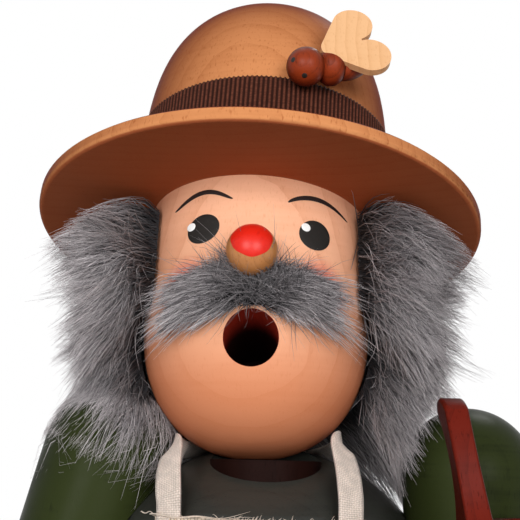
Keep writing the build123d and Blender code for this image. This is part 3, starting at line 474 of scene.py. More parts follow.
def head_point(phi, depth, lift):
    """Point at angle phi from the front, in degrees, at a depth, lifted off the wood along its normal."""
    slope = (head_radius(depth + SLOPE_STEP) - head_radius(depth - SLOPE_STEP)) / (2 * SLOPE_STEP)
    norm = np.sqrt(1 + slope ** 2)
    return polar(np.radians(phi), head_radius(depth) + lift / norm, lift * slope / norm - depth)


# %% [markdown]
# ## Painted eyes, brows and nose
# A coat of paint has a thickness, here a tenth of a millimetre. Each patch is a disc in polar
# coordinates, thick in the middle and rolled off to the wood at its edge.

# %% Paint material
def paint_material(name, colour, worn, roughness):
    """Opaque brush paint: slight streaks in tone and gloss."""
    material, tree, sockets = new_material(name, roughness, Specular_IOR_Level=0.3)
    streak = noise(place_in(tree), 900.0, 3.0)
    put(streak.ramp(0.5, 0.8).blend(colour, worn), sockets["Base Color"])
    put(streak * 0.12 + roughness, sockets["Roughness"])
    bump(streak, 0.00001, sockets)
    return material


BLACK_PAINT = paint_material("black_paint", (22, 19, 16), (33, 29, 25), 0.55)
WHITE_PAINT = paint_material("white_paint", (244, 244, 242), (226, 226, 224), 0.35)
RED_PAINT = paint_material("red_paint", (224, 36, 20), (210, 27, 15), 0.3)
BROW_PAINT = paint_material("brow_paint", (26, 14, 12), (42, 24, 20), 0.55)


# %% Painted discs and strokes
def disc_grid(rings, corners):
    """Shares from 0 at a disc's centre to 1 at its rim, and the angles round it, ready to be combined."""
    return np.linspace(0, 1, rings)[:, None], np.linspace(0, 2 * np.pi, corners, endpoint=False)[None, :]


def painted_disc(name, phi, depth, half_wide, half_high, turn, lift, thick, material):
    """An oval patch: polar rings around a centre, raised by thick * (1 - rho^8) above the wood."""
    rho, angle = disc_grid(13, 72)
    a, b = half_wide * rho * np.cos(angle), half_high * rho * np.sin(angle)
    c, s = math.cos(math.radians(turn)), math.sin(math.radians(turn))
    u, v = a * c - b * s, a * s + b * c
    points = head_point(phi + np.degrees(u / head_radius(depth)), depth + v, lift + thick * (1 - rho ** 8))
    make_patch(name, points, on_head, material, closed=True)


def painted_stroke(name, path, half_width, lift, thick, material):
    """A brush stroke along (phi, depth) points: a smooth curve, widest in the middle and pointed at its ends."""
    t = np.linspace(0, 1, 61)[:, None]
    fit = np.polyfit(np.linspace(0, 1, len(path)), np.array(path), 4)
    middle = sum(c * t ** p for c, p in zip(fit, range(4, -1, -1)))
    flat = np.stack([np.radians(middle[:, 0]) * HEAD_RADIUS, middle[:, 1]], -1)
    way = unit(np.gradient(flat, axis=0))
    side = np.stack([-way[:, 1], way[:, 0]], -1)
    width = half_width * np.sin(np.pi * t ** 0.9) ** 0.55 + 0.06
    share = np.linspace(-1, 1, 9)
    flat = flat[:, None] + side[:, None] * (width * share)[..., None]
    points = head_point(np.degrees(flat[..., 0] / HEAD_RADIUS), flat[..., 1], lift + thick * (1 - share ** 4))
    make_patch(name, points, on_head, material)


EYE_COAT, GLINT_COAT = (0.05, 0.1, BLACK_PAINT), (0.16, 0.08, WHITE_PAINT)  # lift, thickness and paint
BROW_STROKE = 0.54, 0.05, 0.08, BROW_PAINT  # half width, lift, thickness and paint
painted_disc("eye_right", -27.2, 12.46, 4.1, 3.58, -3, *EYE_COAT)
painted_disc("eye_left", 29.1, 13.28, 4.06, 3.62, -18, *EYE_COAT)
painted_disc("eye_glint_right", -33.9, 11.4, 1.15, 1.0, 0, *GLINT_COAT)
painted_disc("eye_glint_left", 23.9, 11.9, 1.1, 1.0, 0, *GLINT_COAT)
painted_stroke("brow_right", [(-46.0, 5.7), (-39.4, 4.5), (-31.6, 3.3), (-24.4, 3.4), (-17.6, 4.5), (-12.2, 5.9)],
               *BROW_STROKE)
painted_stroke("brow_left", [(14.7, 6.4), (19.4, 5.1), (26.1, 4.2), (33.3, 4.2), (41.4, 4.9), (50.5, 6.5)],
               *BROW_STROKE)


# %% [markdown]
# The nose is a varnished bead dipped in red. The cap is a spherical patch around a direction that
# points forwards and a little up, with a slightly uneven edge as a brush leaves it.

# %% Red cap of the nose
def ball_cap(centre, towards, beside, bend, angle, reach):
    """Points on a ball: at a bend away from one direction and an angle round it, at a reach from the
    centre. The vector 'beside' settles where the angle starts."""
    towards = unit(np.array(towards))
    side = unit(np.cross(towards, beside))
    other = np.cross(side, towards)
    bend, angle, reach = (values[..., None] for values in np.broadcast_arrays(bend, angle, reach))
    way = towards * np.cos(bend) + side * (np.sin(bend) * np.cos(angle)) + other * (np.sin(bend) * np.sin(angle))
    return way * reach + centre


NOSE_CENTRE = polar(math.radians(-1.6), 30.64, -20.9)
NOSE_RADIUS = 5.55
CAP_RISE, CAP_SPREAD = math.radians(15), 53
share, angle = disc_grid(25, 96)
edge = np.radians(CAP_SPREAD + 1.2 * np.sin(3 * angle + 0.7) + 0.7 * np.sin(7 * angle))
cap = ball_cap(NOSE_CENTRE, (0.0, -math.cos(CAP_RISE), math.sin(CAP_RISE)), UP, share * edge, angle,
               NOSE_RADIUS + 0.04 + 0.09 * (1 - share ** 10))
make_patch("nose_cap", cap, on_head, RED_PAINT, closed=True)
print("painted pieces on the head: 7")

# %% [markdown]
# Cheeks and the red inside of the mouth belong to the wood, so they are masks in the head's own material: a soft
# ball around each cheek, and everything within the mouth's radius of its axis or within the flue's radius of the
# upright bore that meets it. Deeper in, the red fades to near black: painted shade inside the bore.

# %% Cheeks and mouth in the head's material
CHEEK_DEPTH, CHEEK_INNER, CHEEK_OUTER = 26.5, 2.5 * MM, 9.5 * MM
MOUTH_TURN, MOUTH_RADIUS, MOUTH_END = math.radians(-1.4), 5.93 * MM, -34 * MM
FLUE_AXIS, FLUE_RADIUS, FLUE_TOP = (-0.0025, -0.007, 0.0), 4.2 * MM, 0.206
here = place_in(skin_parts.tree)
cheek_right, cheek_left = (
    here.vector("DISTANCE", tuple(on_head(head_point(phi, CHEEK_DEPTH, 0)))).ramp(CHEEK_INNER, CHEEK_OUTER, 1.0, 0.0)
    for phi in (-36, 32))
height = add(skin_parts.tree, "ShaderNodeSeparateXYZ", Vector=here)["Z"]
low_face = height.ramp(0.192, 0.22, 0.75, 0.0).blend(skin_parts["Color"], (212, 122, 76))
cheeks = cheek_right.math("MAXIMUM", cheek_left) * 0.75
# Painted shade: the face darkens towards the head's silhouette.
tint = cheeks.blend(deepened_with_edge_shade(low_face, 0.65, SKIN_EDGE_SHADE), (206, 62, 66))
mouth_way = tuple(HEAD_TURN @ polar(MOUTH_TURN, 1.0, 0.0))
from_mouth = here.vector("SUBTRACT", tuple(on_head(polar(MOUTH_TURN, 26.0, -38.3))))
off_axis = from_mouth.vector("CROSS_PRODUCT", mouth_way).vector("LENGTH")
along = from_mouth.vector("DOT_PRODUCT", mouth_way)
in_mouth = (off_axis < MOUTH_RADIUS) * (along > MOUTH_END)
from_flue = here.vector("MULTIPLY", (1, 1, 0)).vector("DISTANCE", FLUE_AXIS)
in_flue = (from_flue < FLUE_RADIUS) * (height < FLUE_TOP)
# Painted shade: from 4 mm into the mouth the red fades, reaching near black at 14 mm.
mouth_red_and_bore_shade = along.ramp(-14 * MM, -4 * MM, 1.0, 0.0).blend((146, 42, 28), (30, 9, 7))
put(in_mouth.math("MAXIMUM", in_flue).blend(tint, mouth_red_and_bore_shade), skin_sockets["Base Color"])

# %% [markdown]
# ## The ribbed ribbon
# Petersham ribbon has fine ribs across its width, and each rib ends in a tiny loop at the edge.
# The band is a grid around the crown whose radius and edge height swell once per rib.

# %% Ribbon
RIBS = 184
RIBBON_IN, RIBBON_LOW, RIBBON_HIGH = 31.66, 5.0, 23.1
around = np.linspace(0, 2 * np.pi, RIBS * 8, endpoint=False)[None, :]
level = np.concatenate([[0, 0.02, 0.05, 0.1], np.linspace(0.16, 0.84, 9), [0.9, 0.95, 0.98, 1]])[:, None]
rib = 0.5 + 0.5 * np.cos(around * RIBS)
edge_roll = 1 - np.clip(np.abs(level - 0.5) * 2 - 0.9, 0, 0.1) / 0.1
bulge = 0.16 + 0.34 * rib ** 0.8 * (0.35 + 0.65 * edge_roll) + 0.03 * np.sin(around * 5 + 2 * level)
loops = 0.28 * rib ** 2 * ((level > 0.93) * 1.0 - (level < 0.07))
z_band = RIBBON_LOW + (RIBBON_HIGH - RIBBON_LOW) * level + loops + 0.12 * np.sin(around * 2 + 0.6)
outer = polar(around, RIBBON_IN + bulge, z_band)
inner = outer[[0, -1]]
inner[..., :2] *= (RIBBON_IN - 0.05) / np.linalg.norm(inner[..., :2], axis=-1)[..., None]
band = np.concatenate([inner[:1], outer, inner[1:]])

RIBBON, tree, sockets = new_material("ribbon_cloth", 0.6, Specular_IOR_Level=0.05)
here = place_in(tree)
thread = noise(here, 1.0, 2.0, stretch=(900, 900, 3800))
tone = thread.ramp(0.35, 0.7).blend((84, 46, 35), (112, 64, 48))
# Painted shade and light on the ribs: the troughs are darkened to a deep brown, while the crests keep the thread's
# lighter tone.
tone = attribute(tree, "crest").ramp(0.15, 0.8).blend((44, 22, 16), tone)
tone = noise(here, 90.0, 3.0).ramp(0.4, 0.75, 0.0, 0.25).blend(tone, (60, 32, 25))
# Painted shade: the band darkens towards its silhouette.
put(deepened_with_edge_shade(tone, 0.95, (24, 10, 7)), sockets["Base Color"])
bump(thread, 0.00005, sockets)
ribbon = make_patch("ribbed_ribbon", band, on_hat, RIBBON, closed=True)
point_values(ribbon, "crest", np.tile(rib[0], len(band)))
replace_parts(ribbon, "hat_ribbon")
print("ribbon faces:", len(ribbon.data.polygons))

# %% [markdown]
# ## The bee's eyes
# Two dots of black paint on the bee's head, made as small lens-shaped caps on the sphere and raised
# by a twentieth of a millimetre.

# %% Bee eyes
BEE_HEAD, BEE_RADIUS, BEE_EYE = np.array([8.93, -35.3, 24.0]), 4.5, 0.62
share, angle = disc_grid(7, 32)
for name, towards in (("bee_eye_high", (-0.67, -0.72, -0.16)), ("bee_eye_low", (-0.05, -0.45, -0.89))):
    dot = ball_cap(BEE_HEAD, towards, (0.2, 0.3, 1.0), share * BEE_EYE / BEE_RADIUS, angle,
                   BEE_RADIUS + 0.02 + 0.05 * (1 - share ** 6))
    make_patch(name, dot, on_hat, BLACK_PAINT, closed=True)

# %% [markdown]
# ## Fur
# The hair is a strip of long-haired fur glued round the back of the head, and the moustache is a
# smaller strip over the mouth. Real strands are modelled: each is a thin three-sided taper that leaves
# the backing along its normal, bends under its own weight and leans towards the tip of its tuft.
# All strands of a strip are computed together as one array. The colour runs from dark root to pale
# tip through an attribute, as in dyed fur.

# %% Strand builder
def smooth_noise(points, seed, scale):
    """A soft vector field: sines of rotated coordinates with seeded phases, about one unit strong."""
    rng = np.random.default_rng(seed)
    total = np.zeros_like(points)
    for _ in range(5):
        turn = rng.normal(size=(3, 3)) / scale
        total += np.sin(points @ turn.T + rng.uniform(0, 2 * np.pi, 3))
    return total / 2.2


def grow(roots, ways, lengths, droop, tuft_size, tuft_pull, curl, seed, steps=6):
    """Strand centre lines. Step by step each strand turns from its way towards the droop direction;
    then its outer part is drawn to the mean line of its tuft and waved by soft noise."""
    rng = np.random.default_rng(seed)
    count = len(roots)
    lines = np.zeros((count, steps, 3))
    lines[:, 0] = roots
    heading = ways
    for k in range(1, steps):
        heading = unit(heading + droop * (0.85 * (k / (steps - 1)) ** 1.1))
        lines[:, k] = lines[:, k - 1] + heading * (lengths / (steps - 1))[:, None]
    leaders = rng.choice(count, max(count // tuft_size, 1), replace=False)
    nearest = np.zeros(count, int)
    for start in range(0, count, 2000):
        gap = roots[start:start + 2000, None, :] - roots[None, leaders, :]
        nearest[start:start + 2000] = np.argmin((gap ** 2).sum(-1), 1)
    guide = lines[leaders][nearest]
    share = np.linspace(0, 1, steps)[None, :, None] ** 1.3
    pull = tuft_pull * rng.uniform(0.35, 1.0, count)[:, None, None]
    lines = lines + (guide - lines) * share * pull
    wave = smooth_noise(lines.reshape(-1, 3), seed + 1, 7.0).reshape(lines.shape)
    stray = rng.normal(size=(count, 1, 3)) * rng.choice([1.0, 1.0, 1.0, 2.6], count)[:, None, None]
    return lines + share * (wave * curl + stray * curl * 0.8)


def push_out(lines, floor):
    """Points nearer to the upright axis than the floor radius move straight out to it."""
    radial = np.linalg.norm(lines[..., :2], axis=-1)
    lines[..., :2] *= (np.maximum(radial, floor) / radial)[..., None]


def keep_off_head(lines, gap):
    """No point of a strand stays inside the head: the wood is cleared by the gap."""
    push_out(lines, head_radius(np.clip(-lines[..., 2], 0, DEEPEST)) + gap)


def strand_mesh(name, lines, width, place, material, paleness=1.0):
    """Three-sided tapers around the centre lines. The attribute 'along' runs from 0 at the root to the
    strand's own paleness at the tip, and 'tone' is one random number per strand."""
    count, steps, _ = lines.shape
    rng = np.random.default_rng(len(name) + count)
    way = np.gradient(lines, axis=1)
    way /= np.linalg.norm(way, axis=2)[..., None] + 1e-9
    side = unit(np.cross(way, np.where(np.abs(way[..., 2:]) < 0.9, [0, 0, 1.0], [1.0, 0, 0])))
    other = np.cross(way, side)
    share = np.linspace(0, 1, steps)
    thick = width * (1 - share ** 1.6 * 0.88) * rng.uniform(0.7, 1.3, count)[:, None]
    corner = (np.arange(3) * 2 * np.pi / 3)[:, None]
    ring = (side[:, :, None] * np.cos(corner) + other[:, :, None] * np.sin(corner)) * thick[..., None, None]
    vertices = (lines[:, :, None] + ring).reshape(-1, 3)
    faces = grid_faces(steps, 3, closed=True) + (np.arange(count) * steps * 3)[:, None, None]
    piece = make_object(name, place(vertices), faces.reshape(-1, 4), material)
    point_values(piece, "along", np.outer(np.ones(count) * paleness, np.repeat(share, 3)))
    point_values(piece, "tone", np.repeat(rng.uniform(0, 1, count), steps * 3))
    return piece


# %% Fur material
FUR, tree, sockets = new_material("fur_strands", 0.55, Specular_IOR_Level=0.25)
along, tone = attribute(tree, "along"), attribute(tree, "tone")
root_to_tip = add(tree, "ShaderNodeValToRGB", Fac=along)
stops = root_to_tip.socket.node.color_ramp.elements
stops.new(0.45)
for stop, position, colour in zip(stops, (0.08, 0.45, 0.95), ((40, 40, 43), (176, 170, 172), (240, 232, 234))):
    stop.position = position
    stop.color = (*srgb(*colour), 1)
fur_colour = tone.ramp(0.0, 0.35, 0.85, 0.0).blend(root_to_tip, (50, 48, 50))
fur_colour = (tone.ramp(0.8, 1.0, 0.0, 0.7) * along).blend(fur_colour, (250, 244, 244))
put(fur_colour, sockets["Base Color"])
put(tone * 0.2 + 0.45, sockets["Roughness"])


# %% [markdown]
# ### The strip round the head
# Roots are spread over the band from temple to temple. Beside the eyes the strip reaches 57 degrees
# round from the front; beside the jaw it lies further back. At the temples the fur stands out sideways,
# further down it hangs over the shoulders. The strands are split into pieces so that none grows too heavy.

# %% Hair strands
def face_edge(depth):
    """Angle from the front at which the strip begins: a smooth step from 57 degrees at the eyes to 80 at the jaw."""
    share = np.clip((depth - 24) / 9, 0, 1)
    return 57 + 23 * share ** 2 * (3 - 2 * share)


SHOULDER_BARS = np.array([  # start, end and radius of the two upper arms, then of the round shoulders
    (-35.3, -8.0, 182.0, -54.8, -11.6, 116.9, 16.1),
    (46.9, -8.0, 179.0, 48.5, -5.0, 124.5, 16.1),
    (0.0, 0.0, 139.5, 0.0, 0.0, 139.4, 45.8)])


def clear_of_shoulders(lines):
    """Strands that would enter an arm are moved out to its surface: the nearest point q on the arm's axis
    is found, and a strand point p closer than the radius r moves to q + r (p - q) / |p - q|."""
    points = on_head(lines.reshape(-1, 3)) / MM
    for bar in SHOULDER_BARS:
        start, axis, radius = bar[:3], bar[3:6] - bar[:3], bar[6]
        share = np.clip((points - start) @ axis / (axis @ axis), 0, 1)
        nearest = start + share[:, None] * axis
        gap = points - nearest
        distance = np.linalg.norm(gap, axis=1)
        inside = distance < radius
        points[inside] = nearest[inside] + gap[inside] * (radius / distance[inside])[:, None]
    return ((points - BRIM_CENTRE) @ HEAD_TURN).reshape(lines.shape)


def hair_strands(name, side, first_share, last_share, count, seed):
    """Roots between two shares of the way from the face's edge to the nape, on one side of the head."""
    rng = np.random.default_rng(seed)
    depth = 3.0 + 41.0 * rng.uniform(0, 1, count) ** 0.9
    way_back = rng.uniform(first_share, last_share, count)
    phi = np.radians(side * (face_edge(depth) + (180 - face_edge(depth)) * way_back))
    roots = polar(phi, head_radius(depth) + 1.0, -depth)
    low = np.clip((depth - 4) / 36, 0, 1)
    fall = low[:, None]
    front = np.clip(1 - way_back * 2.2, 0, 1)[:, None]
    ways = polar(phi, 1.0, 0.0) * (0.85 - 0.2 * fall) + np.array([side, 0, 0]) * (0.3 + 0.3 * fall)
    ways = ways + UP * (0.16 - 1.25 * fall)
    ways = ways + np.array([0, -0.5, 0]) * front + rng.normal(size=(count, 3)) * 0.3
    ways = unit(ways + smooth_noise(roots, seed + 50, 5.0) * 0.3)
    lengths = rng.uniform(16.5, 27.0, count) * (1.05 if side > 0 else 0.98) * (1 - 0.14 * low)
    behind = np.clip((way_back - 0.25) * 6, 0, 1) * np.clip((0.75 - way_back) * 6, 0, 1)
    lengths *= 1 + (0.4 if side > 0 else 0.1) * low ** 3 * behind
    near_face = np.clip(way_back * 8, 0, 1)
    lengths *= 0.66 + 0.34 * near_face
    lengths *= rng.choice([1.0, 1.28], count, p=[0.98, 0.02])
    droop = np.array([0, 0, -0.24]) + np.array([0, -0.06, -0.12]) * fall
    curl = 0.6 + 1.2 * (1 - near_face)
    lines = grow(roots, ways, lengths, droop, 20, 1.05, curl[:, None, None], seed, steps=5)
    keep_off_head(lines, 0.5)
    beyond_head = np.clip(np.linalg.norm(lines[..., :2], axis=-1) - 27, 0, 40)
    room = -1.2 - 0.02 * beyond_head ** 2 - rng.uniform(0, 2.0, (count, 1)) * np.linspace(0, 1, 5)
    lines[..., 2] = np.minimum(lines[..., 2], room)
    lines[:, 1:] = clear_of_shoulders(lines[:, 1:])
    paleness = np.clip(lengths / 20, 0.3, 1.0) * rng.uniform(0.65, 1.0, count) * (0.68 + 0.32 * near_face)
    return strand_mesh(name, lines, 0.13, on_head, FUR, paleness)


density = 1.0
hair_count, moustache_count = int(8000 * density), int(3600 * density)
SECTORS = ((1, 0, 0.26), (1, 0.26, 0.6), (1, 0.6, 1), (-1, 0, 0.26), (-1, 0.26, 0.6), (-1, 0.6, 1))
hair_pieces = [hair_strands(f"hair_{number + 1}", *sector, hair_count, 11 + number)
               for number, sector in enumerate(SECTORS)]
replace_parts(hair_pieces[0], "hair")
print("hair strands:", hair_count * len(SECTORS))


# %% [markdown]
# ### The moustache
# Two kinds of hair grow on this strip. Short dark hairs curl in all directions and fill its middle;
# longer ones comb outwards like a fan, nearly level at the top edge and steeper at the lower one,
# and thin out into pale tips over the cheeks.

# %% Moustache strands
def moustache_strands(name, side, count, seed):
    """Half of the strands are short and turned at random within the face; the others form the fan."""
    rng = np.random.default_rng(seed)
    curly = rng.uniform(0, 1, count) < 0.5
    even = rng.uniform(0, 1, count)
    share = np.where(curly, even ** 1.15, 0.25 + 0.75 * even)
    row = rng.uniform(-1, 1, count)
    phi = side * 26 * share - 1.6 + rng.normal(size=count) * 1.5
    depth = 27.6 + 0.8 * share + row * 4.3 * (1 - 0.3 * share)
    angle = np.radians(phi)
    outward = polar(angle, 1.0, 0.0)
    tangent = np.stack([np.cos(angle), np.sin(angle), 0 * angle], -1) * side
    fan = (0.14 + 0.42 * row + 0.12 * share)[:, None]
    combed = outward * 0.4 + tangent * (0.6 + 0.35 * share[:, None]) - UP * fan
    combed = combed + rng.normal(size=(count, 3)) * 0.2
    spin = rng.uniform(0, 2 * np.pi, count)[:, None]
    loose = outward * 0.7 + tangent * np.cos(spin) - UP * (np.sin(spin) * 0.8)
    ways = unit(np.where(curly[:, None], loose, combed))
    combed_lengths = rng.uniform(6, 14.5, count) * (0.75 + 0.6 * share) * (0.86 + 0.14 * row)
    lengths = np.where(curly, rng.uniform(3.5, 7.0, count), combed_lengths)
    pulls = np.where(curly, [[0.1], [0.05], [0.3], [1.6]], [[0.3], [0.2], [0.16], [0.7]])
    aside, down, inward, curl = pulls[..., None]
    droop = tangent * aside - UP * down - outward * inward
    lines = grow(head_point(phi, depth, 0.4), ways, lengths, droop, 9, 0.75, curl[..., None], seed)
    keep_off_head(lines, 0.35)
    paleness = np.where(curly, 0.45, 1.0) * rng.uniform(0.6, 1.0, count)
    return strand_mesh(name, lines, 0.1, on_head, FUR, paleness)


moustache = moustache_strands("moustache_strands_right", -1, moustache_count, 31)
moustache_strands("moustache_strands_left", 1, moustache_count, 32)
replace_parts(moustache, "moustache")
print("moustache strands:", moustache_count * 2)

# %% [markdown]
# Fur has a woven backing, and short dark underwool that hides it. A dark shell just above the wood
# does the same here, so that no bare head shows between the strands.

# %% Backing cloth
BACKING, tree, sockets = new_material("fur_backing", 0.9, Sheen_Weight=0.3)
wool = noise(place_in(tree), 700.0, 4.0)
put(wool.blend((24, 24, 27), (62, 60, 64)), sockets["Base Color"])
bump(wool, 0.0006, sockets)


def backing(name, phi_low, phi_high, depth_low, depth_high, thickness):
    """A closed pad on the head: grid over angle and depth, thickness times a rounded edge profile."""
    u, v = np.linspace(0, 1, 97)[:, None], np.linspace(0, 1, 33)[None, :]
    edge_u = np.clip(np.minimum(u, 1 - u) * 14, 0, 1)
    edge_v = np.clip(np.minimum(v, 1 - v) * 7, 0, 1)
    rise = 0.1 + thickness * np.sqrt(np.minimum(edge_u, edge_v)) * (0.9 + 0.1 * np.sin(40 * u) * np.sin(17 * v))
    phi = phi_low + (phi_high - phi_low) * u
    depth = depth_low + (depth_high - depth_low) * v
    shell = np.concatenate([head_point(phi, depth, rise), head_point(phi, depth, 0.06)[:, ::-1]], 1)
    make_patch(name, shell, on_head, BACKING, closed=True)


backing("hair_backing", 63, 297, 3.5, 26, 0.8)
backing("nape_backing", 90, 270, 25, 45, 0.8)
backing("moustache_backing", -23, 20, 25.2, 31.2, 0.6)

# %% [markdown]
# ## Linen and tape
# The apron is coarse linen with visible warp and weft, and the neck tape is soft cotton twill.
# Both follow their own UV map, measured in metres, so that threads keep their real spacing.
# Where the product of two sine waves is positive the warp lies on top, elsewhere the weft. Between the threads the
# colour turns to the darker gap colour: painted shade.

# %% Shader group: plain weave
weave, v_in, v_out = new_group(
    "plain_weave",
    {"Thread": 0.0009, "Slub": 0.5, "Warp": (0.6, 0.5, 0.4), "Weft": (0.55, 0.45, 0.35), "Gap Shade": (0.1, 0.08, 0.06)},
    ("Color", "Height"))
cloth_uv = add(weave, "ShaderNodeUVMap", {"uv_map": "cloth"})
slub = noise(cloth_uv, 420.0, 3.0)
drift = add(weave, "ShaderNodeVectorMath", {"operation": "SCALE"}, slub["Color"], Scale=0.00035)
laid = add(weave, "ShaderNodeSeparateXYZ", Vector=cloth_uv.vector("ADD", drift))
u_wave, v_wave = ((laid[axis] / v_in["Thread"] * math.pi).math("SINE") for axis in "XY")
top = (u_wave * v_wave > 0.0).blend(v_in["Warp"], v_in["Weft"])
roundness = (u_wave.math("ABSOLUTE") * v_wave.math("ABSOLUTE")).math("MAXIMUM", 0.0001) ** 0.5
uneven = slub.ramp(0.35, 0.7, -0.3, 0.3)
# Painted shade: where the threads dip, at their edges and crossings, the colour turns to the gap colour.
tone = roundness.ramp(0.1, 0.6).blend(v_in["Gap Shade"], top)
put(add(weave, "ShaderNodeHueSaturation", Color=tone, Value=uneven * v_in["Slub"] + 1.0), v_out["Color"])
put(uneven * 0.4 + roundness, v_out["Height"])


def cloth_material(name, thread, warp, weft, gap, slub_share, relief):
    """Woven cloth with a little sheen; the thread spacing and the relief are in metres; gap is the colour of painted
    shade between the threads.
    """
    material, tree, sockets = new_material(name, 0.85, Sheen_Weight=0.25, Sheen_Roughness=0.5)
    parts = use_group(tree, weave, thread, slub_share, warp, weft, gap)
    put(parts["Color"], sockets["Base Color"])
    bump(parts["Height"], relief, sockets)
    return material


LINEN = cloth_material("linen", 0.0008, (222, 204, 184), (206, 184, 160), (134, 112, 92), 0.45, 0.00025)
TAPE = cloth_material("cotton_tape", 0.00042, (242, 226, 214), (234, 215, 202), (168, 152, 132), 0.35, 0.00012)

# %% [markdown]
# ### The apron
# One sheet of linen: a bib pressed to the chest and a skirt gathered at the waist that opens in folds.
# It lies 0.75 mm off the wood at the waist. Below, its radius grows to the hem, and so do the folds, a
# cosine across the skirt with ten crests. The half angle is 37.6 degrees on the bib and 57.4 on the skirt.

# %% Apron
BIB_TOP, WAIST, HEM = 169.6, 121, 52.5
BIB_ANGLE, SKIRT_GAIN = 37.6, 19.8
CLOTH_RADIUS = 35.75
rows = np.concatenate([np.linspace(BIB_TOP, WAIST, 50), np.linspace(119.4, HEM, 70)])[:, None]
share = np.linspace(-1, 1, 241)
on_skirt = np.clip((WAIST - rows) / 2.0, 0, 1)
half_angle = np.radians(BIB_ANGLE + SKIRT_GAIN * on_skirt)
drop = np.clip((120 - rows) / 67.5, 0, 1)
folds = np.cos(share * np.pi * 10 + 0.5 * np.sin(share * 6)) * (2.5 * drop ** 0.8 + 0.15)
skirt_radius = CLOTH_RADIUS + 6.1 * drop + folds
bib_radius = CLOTH_RADIUS + 0.12 * np.sin(rows / 7) * np.cos(share * 5)
cloth = polar(share * half_angle, np.where(on_skirt > 0, skirt_radius, bib_radius), rows)
apron = make_patch("apron_linen", cloth, on_body, LINEN)
woven(apron, (share * half_angle * 36 * MM).ravel(), (cloth[..., 2] * MM).ravel(), 0.0007)
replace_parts(apron, "apron")
print("apron quads:", len(apron.data.polygons))

# %% [markdown]
# The bib's top edge is cut, not hemmed. Short thread ends stand up along it, and three long ones have
# come loose and lie over it. The short ends grow like the fur, but stiffer.

# %% Frayed edge
FRAY, tree, sockets = new_material("linen_thread", 0.85, Sheen_Weight=0.25)
fibre = noise(place_in(tree), 1500.0, 3.0)
put(fibre.blend((196, 174, 152), (234, 220, 206)), sockets["Base Color"])
FRAY_COUNT = 260
rng = np.random.default_rng(77)
outward = polar(np.radians(rng.uniform(-37.4, 37.4, FRAY_COUNT)), 1.0, 0.0)
ways = unit(outward * 0.3 + UP * 0.7 + rng.normal(size=(FRAY_COUNT, 3)) * 0.4)
lengths = rng.uniform(0.3, 0.9, FRAY_COUNT) * rng.choice([1.0, 3.0], FRAY_COUNT, p=[0.96, 0.04])
lines = grow(outward * 35.8 + UP * 169.2, ways, lengths, outward * 0.15 - UP * 0.35, 3, 0.2, 0.3, 78)
push_out(lines, 35.4)
strand_mesh("apron_fray", lines, 0.11, on_body, FRAY)

LOOSE_ENDS = np.array([  # first and last angle, height, lift of the end and phase of the wave
    (-39.5, -3.5, 169.7, 1.3, 0.5), (-36.0, -2.0, 169.6, 0.5, 1.7), (-44.0, -33.0, 170.1, 0.2, 2.6)])
first, last, height, lift, phase = LOOSE_ENDS.T[..., None]
step = np.linspace(0, 1, 24)
reach = 36.35 + 0.15 * np.sin(9 * step + phase)
rise = height + 0.22 * np.sin(14 * step + phase) + lift * step ** 6
loose = polar(np.radians(first + (last - first) * step), reach, rise)
strand_mesh("apron_loose_threads", loose, 0.22, on_body, FRAY)
print("loose threads:", FRAY_COUNT + len(LOOSE_ENDS))

# %% [markdown]
# ### Tapes
# The neck tape is a flat ribbon carried along a path over the shoulders. Its width direction turns
# with the path, standing on edge where it squeezes between neck and arm.

# %% Tape builder
DOME_CENTRE = 139.5
NECK_PATH = np.array([  # a place on the path and how far the tape lies flat on the shoulders there
    (-19.0, -30.15, 168.4, 0), (-19.2, -29.9, 172.8, 0.4), (-19.6, -28.2, 175.8, 0.75), (-19.9, -25.6, 179.3, 0.6),
    (-19.8, -21.0, 183.2, 0.35), (-19.6, -15.0, 183.8, 0.1), (-18.7, -8.0, 182.5, 0.22), (-18.6, 0.5, 182.8, 0.8),
    (-14.6, 9.8, 182.7, 1), (-7.5, 15.8, 181.9, 1), (0.0, 18.0, 181.7, 1), (7.5, 15.8, 181.9, 1),
    (13.5, 9.8, 182.8, 1), (17.0, 1.0, 183.4, 0.8), (17.8, -8.0, 184.2, 0.35), (17.0, -15.0, 185.2, 0.1),
    (17.0, -20.8, 184.6, 0.35), (17.9, -25.6, 180.0, 0.6), (18.3, -28.4, 175.8, 0.75), (18.4, -30.0, 172.8, 0.4),
    (18.3, -30.55, 168.4, 0)])


def smooth_path(points, count):
    """A Catmull-Rom curve through the points: each stretch blends four neighbours with cubic weights."""
    padded = np.concatenate([2 * points[:1] - points[1:2], points, 2 * points[-1:] - points[-2:-1]])
    t = np.linspace(0, len(points) - 1 - 1e-9, count)
    k = t.astype(int)
    f = (t - k)[:, None]
    a, b, c, d = padded[k], padded[k + 1], padded[k + 2], padded[k + 3]
    return 0.5 * (2 * b + (c - a) * f + (2 * a - 5 * b + 4 * c - d) * f ** 2 + (3 * b - a - 3 * c + d) * f ** 3)


def tape_piece(name, centre, sideways, width):
    """A flat tape: nine points across, slightly crowned, carried along the centre line."""
    sideways = np.broadcast_to(sideways, centre.shape)
    over = np.linspace(-0.5, 0.5, 9)
    face = unit(np.cross(sideways, unit(np.gradient(centre, axis=0))))
    crown = 0.12 * (1 - (2 * over) ** 2)
    points = centre[:, None] + sideways[:, None] * (over * width)[:, None] + face[:, None] * crown[:, None]
    piece = make_patch(name, points, on_body, TAPE)
    run = np.concatenate([[0], np.cumsum(np.linalg.norm(np.diff(centre, axis=0), axis=1))]) * MM
    woven(piece, np.tile(over * width * MM, len(centre)), np.repeat(run, 9), 0.0008)
    return piece


